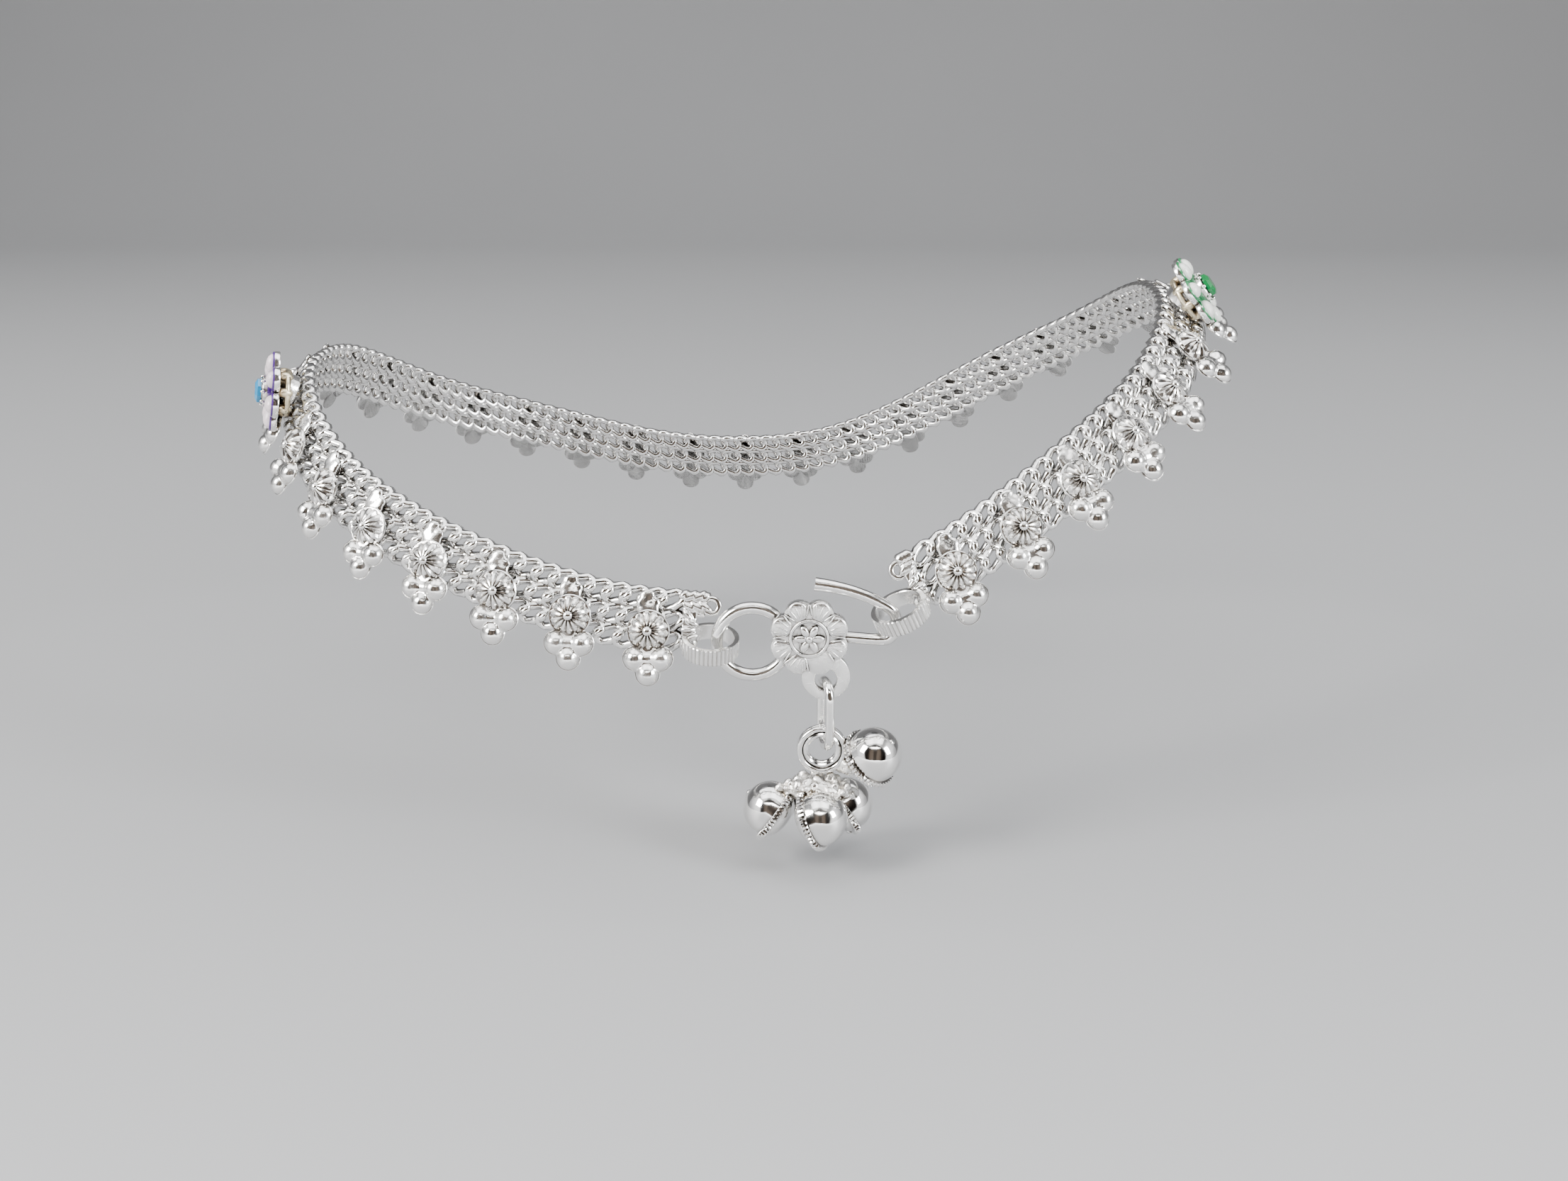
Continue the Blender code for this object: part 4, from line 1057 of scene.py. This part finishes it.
def makeCluster(look):
    offCentre = look["ringInner"] - linkLook["wire"] - linkLook["gap"]
    drop = math.sqrt(offCentre ** 2 - look["ringSideways"] ** 2)
    centre = hang + Vector((-look["ringSideways"], 0, -drop))
    rings = []
    for side in (-1, 1):  # two outer turns of wire side by side, and two thinner ones within
        place = centre + Vector((0, side * 0.95 * look["turnWire"], 0))
        lean = (math.pi / 2 + 0.03 * side, 0.04 * side, 0)
        rings.append(ringTube(look["ringOuter"] - look["turnWire"], look["turnWire"], place, 56, 12, lean))
        rings.append(ringTube(look["ringInner"] + look["turnWire"], 0.9 * look["turnWire"], place, 48, 10,
                              (math.pi / 2, 0, 0)))
    bell = makeBell(look)
    bells = []
    for name, (across, outward, down, heading, rise) in bellPlaces.items():
        spot = centre + look["unit"] * Vector((across, -outward, -down))
        aim = turned(math.radians(heading), "Z") @ turned(math.pi / 2 - math.radians(rise), "Y")
        bells.append(twin(bell, Matrix.Translation(spot) @ aim))
    bpy.data.objects.remove(bell, do_unlink=True)
    whole = coated(joined("bells", rings + bells), finishes["bellSilver"])
    smoothed(whole, 35)
    handOver(whole, "bells", "bell_silver", "bell_cluster")
    unit = look["unit"]
    lumps = [makeSolder(name, centre + unit * Vector(place), size, look)
             for name, (place, size) in solderPlaces.items()]
    solder = coated(joined("bellSolder", lumps), finishes["solderSilver"])
    smoothed(solder, 60)
    handOver(solder, "bells", "bell_silver")
    print("bell cluster made")


makeCluster(bellLook)


# Floor, backdrop and soft light

stageLook = {
    "floor": -0.0455, "size": 3.0, "back": 0.9, "curve": 0.35, "wall": 1.2,
    "roughness": 0.6, "cloudSize": 6.0,
    "colour": (0.30, 0.303, 0.31), "second": (0.28, 0.283, 0.29),
}


def makeStage(look):
    deselectAll()
    bpy.ops.mesh.primitive_plane_add(size=2 * look["size"], location=(0, 0, look["floor"]))
    floor = settled()
    pick(floor, "VERT", lambda point: point.co.y > 0)
    bpy.ops.transform.translate(value=(0, look["back"] - look["size"], 0))
    bpy.ops.mesh.extrude_region_move(TRANSFORM_OT_translate={"value": (0, 0, look["wall"])})
    leaveEdit()
    bevelled(floor, look["curve"], 12, 60)
    floor.name = "floor"
    finish, tree, shader, vector = newMaterial("paleFloor")
    cloud = noiseOn(tree, vector, look["cloudSize"], 2.0)
    tree.links.new(mixOn(tree, cloud, look["colour"], look["second"]), shader.inputs["Base Color"])
    shader.inputs["Roughness"].default_value = look["roughness"]
    coated(smoothed(floor, 60), finish)


lightLook = {
    # name: place, point it faces, size, watts, spread in degrees, colour
    "overhead": ((0.0, 0.0, 0.62), (0.0, 0.0, 0.0), (0.90, 0.60), 5.0, 180, (1.0, 1.0, 1.0)),
    "key": ((-0.50, -0.30, 0.34), (0.0, 0.0, -0.02), (0.26, 0.30), 3.6, 120, (1.0, 0.985, 0.96)),
    "fill": ((0.55, -0.32, 0.26), (0.0, 0.0, -0.02), (0.20, 0.30), 2.6, 120, (0.96, 0.98, 1.0)),
    "front": ((0.0, -0.44, 0.26), (0.0, -0.44, -0.05), (0.80, 0.30), 22.0, 95, (1.0, 0.99, 0.97)),
}


def makeLights(looks):
    for name, (place, target, size, power, spread, colour) in looks.items():
        lamp = bpy.data.lights.new(name, "AREA")
        lamp.shape = "RECTANGLE"
        lamp.size, lamp.size_y = size
        lamp.energy = power
        lamp.spread = math.radians(spread)
        lamp.color = colour
        holder = bpy.data.objects.new(name, lamp)
        bpy.context.scene.collection.objects.link(holder)
        holder.location = place
        aim = Vector(target) - Vector(place)
        holder.rotation_euler = aim.to_track_quat("-Z", "Y").to_euler()


worldLook = {
    "toward": (0.0, -0.95, 0.31),  # where the camera stands
    "seen": (0.27, 0.273, 0.28), "panelScale": 0.55, "panelRange": (0.35, 1.1),
    # share of the way round to the camera, and the light there, which is warm and dark at the camera
    "marks": {0.0: (0.10, 0.10, 0.11), 0.35: (0.25, 0.25, 0.26), 0.68: (1.5, 1.5, 1.52),
              0.84: (1.6, 1.59, 1.57), 0.875: (0.03, 0.022, 0.018), 0.91: (0.02, 0.015, 0.012),
              0.95: (0.15, 0.115, 0.09), 1.0: (0.20, 0.16, 0.13)},
}


def makeWorld(look):
    world = bpy.data.worlds.new("studio")
    world.use_nodes = True
    tree = world.node_tree
    place = tree.nodes.new("ShaderNodeTexCoord")
    facing = tree.nodes.new("ShaderNodeVectorMath")
    facing.operation = "DOT_PRODUCT"
    facing.inputs[1].default_value = look["toward"]
    share = tree.nodes.new("ShaderNodeMapRange")
    share.inputs["From Min"].default_value = -1
    ramp = tree.nodes.new("ShaderNodeValToRGB")
    while len(ramp.color_ramp.elements) < len(look["marks"]):
        ramp.color_ramp.elements.new(0.5)
    for mark, (spot, colour) in zip(ramp.color_ramp.elements, sorted(look["marks"].items())):
        mark.position = spot
        mark.color = (*colour, 1)
    tree.links.new(place.outputs["Generated"], facing.inputs[0])
    tree.links.new(facing.outputs["Value"], share.inputs["Value"])
    tree.links.new(share.outputs["Result"], ramp.inputs["Fac"])
    panels = tree.nodes.new("ShaderNodeTexWave")  # soft upright panels, seen only in reflections
    panels.inputs["Scale"].default_value = look["panelScale"]
    panels.inputs["Distortion"].default_value = 0.0
    tree.links.new(place.outputs["Generated"], panels.inputs["Vector"])
    strength = rangeOn(tree, panels.outputs["Fac"], *look["panelRange"], 0.2, 0.8)
    tree.links.new(strength, tree.nodes["Background"].inputs["Strength"])
    tree.links.new(ramp.outputs["Color"], tree.nodes["Background"].inputs["Color"])
    plain = tree.nodes.new("ShaderNodeBackground")
    plain.inputs["Color"].default_value = (*look["seen"], 1)
    sight = tree.nodes.new("ShaderNodeLightPath")
    either = tree.nodes.new("ShaderNodeMixShader")
    tree.links.new(sight.outputs["Is Camera Ray"], either.inputs["Fac"])
    tree.links.new(tree.nodes["Background"].outputs["Background"], either.inputs[1])
    tree.links.new(plain.outputs["Background"], either.inputs[2])
    tree.links.new(either.outputs["Shader"], tree.nodes["World Output"].inputs["Surface"])
    bpy.context.scene.world = world


makeStage(stageLook)
makeLights(lightLook)
makeWorld(worldLook)
print("stage and lights ready")
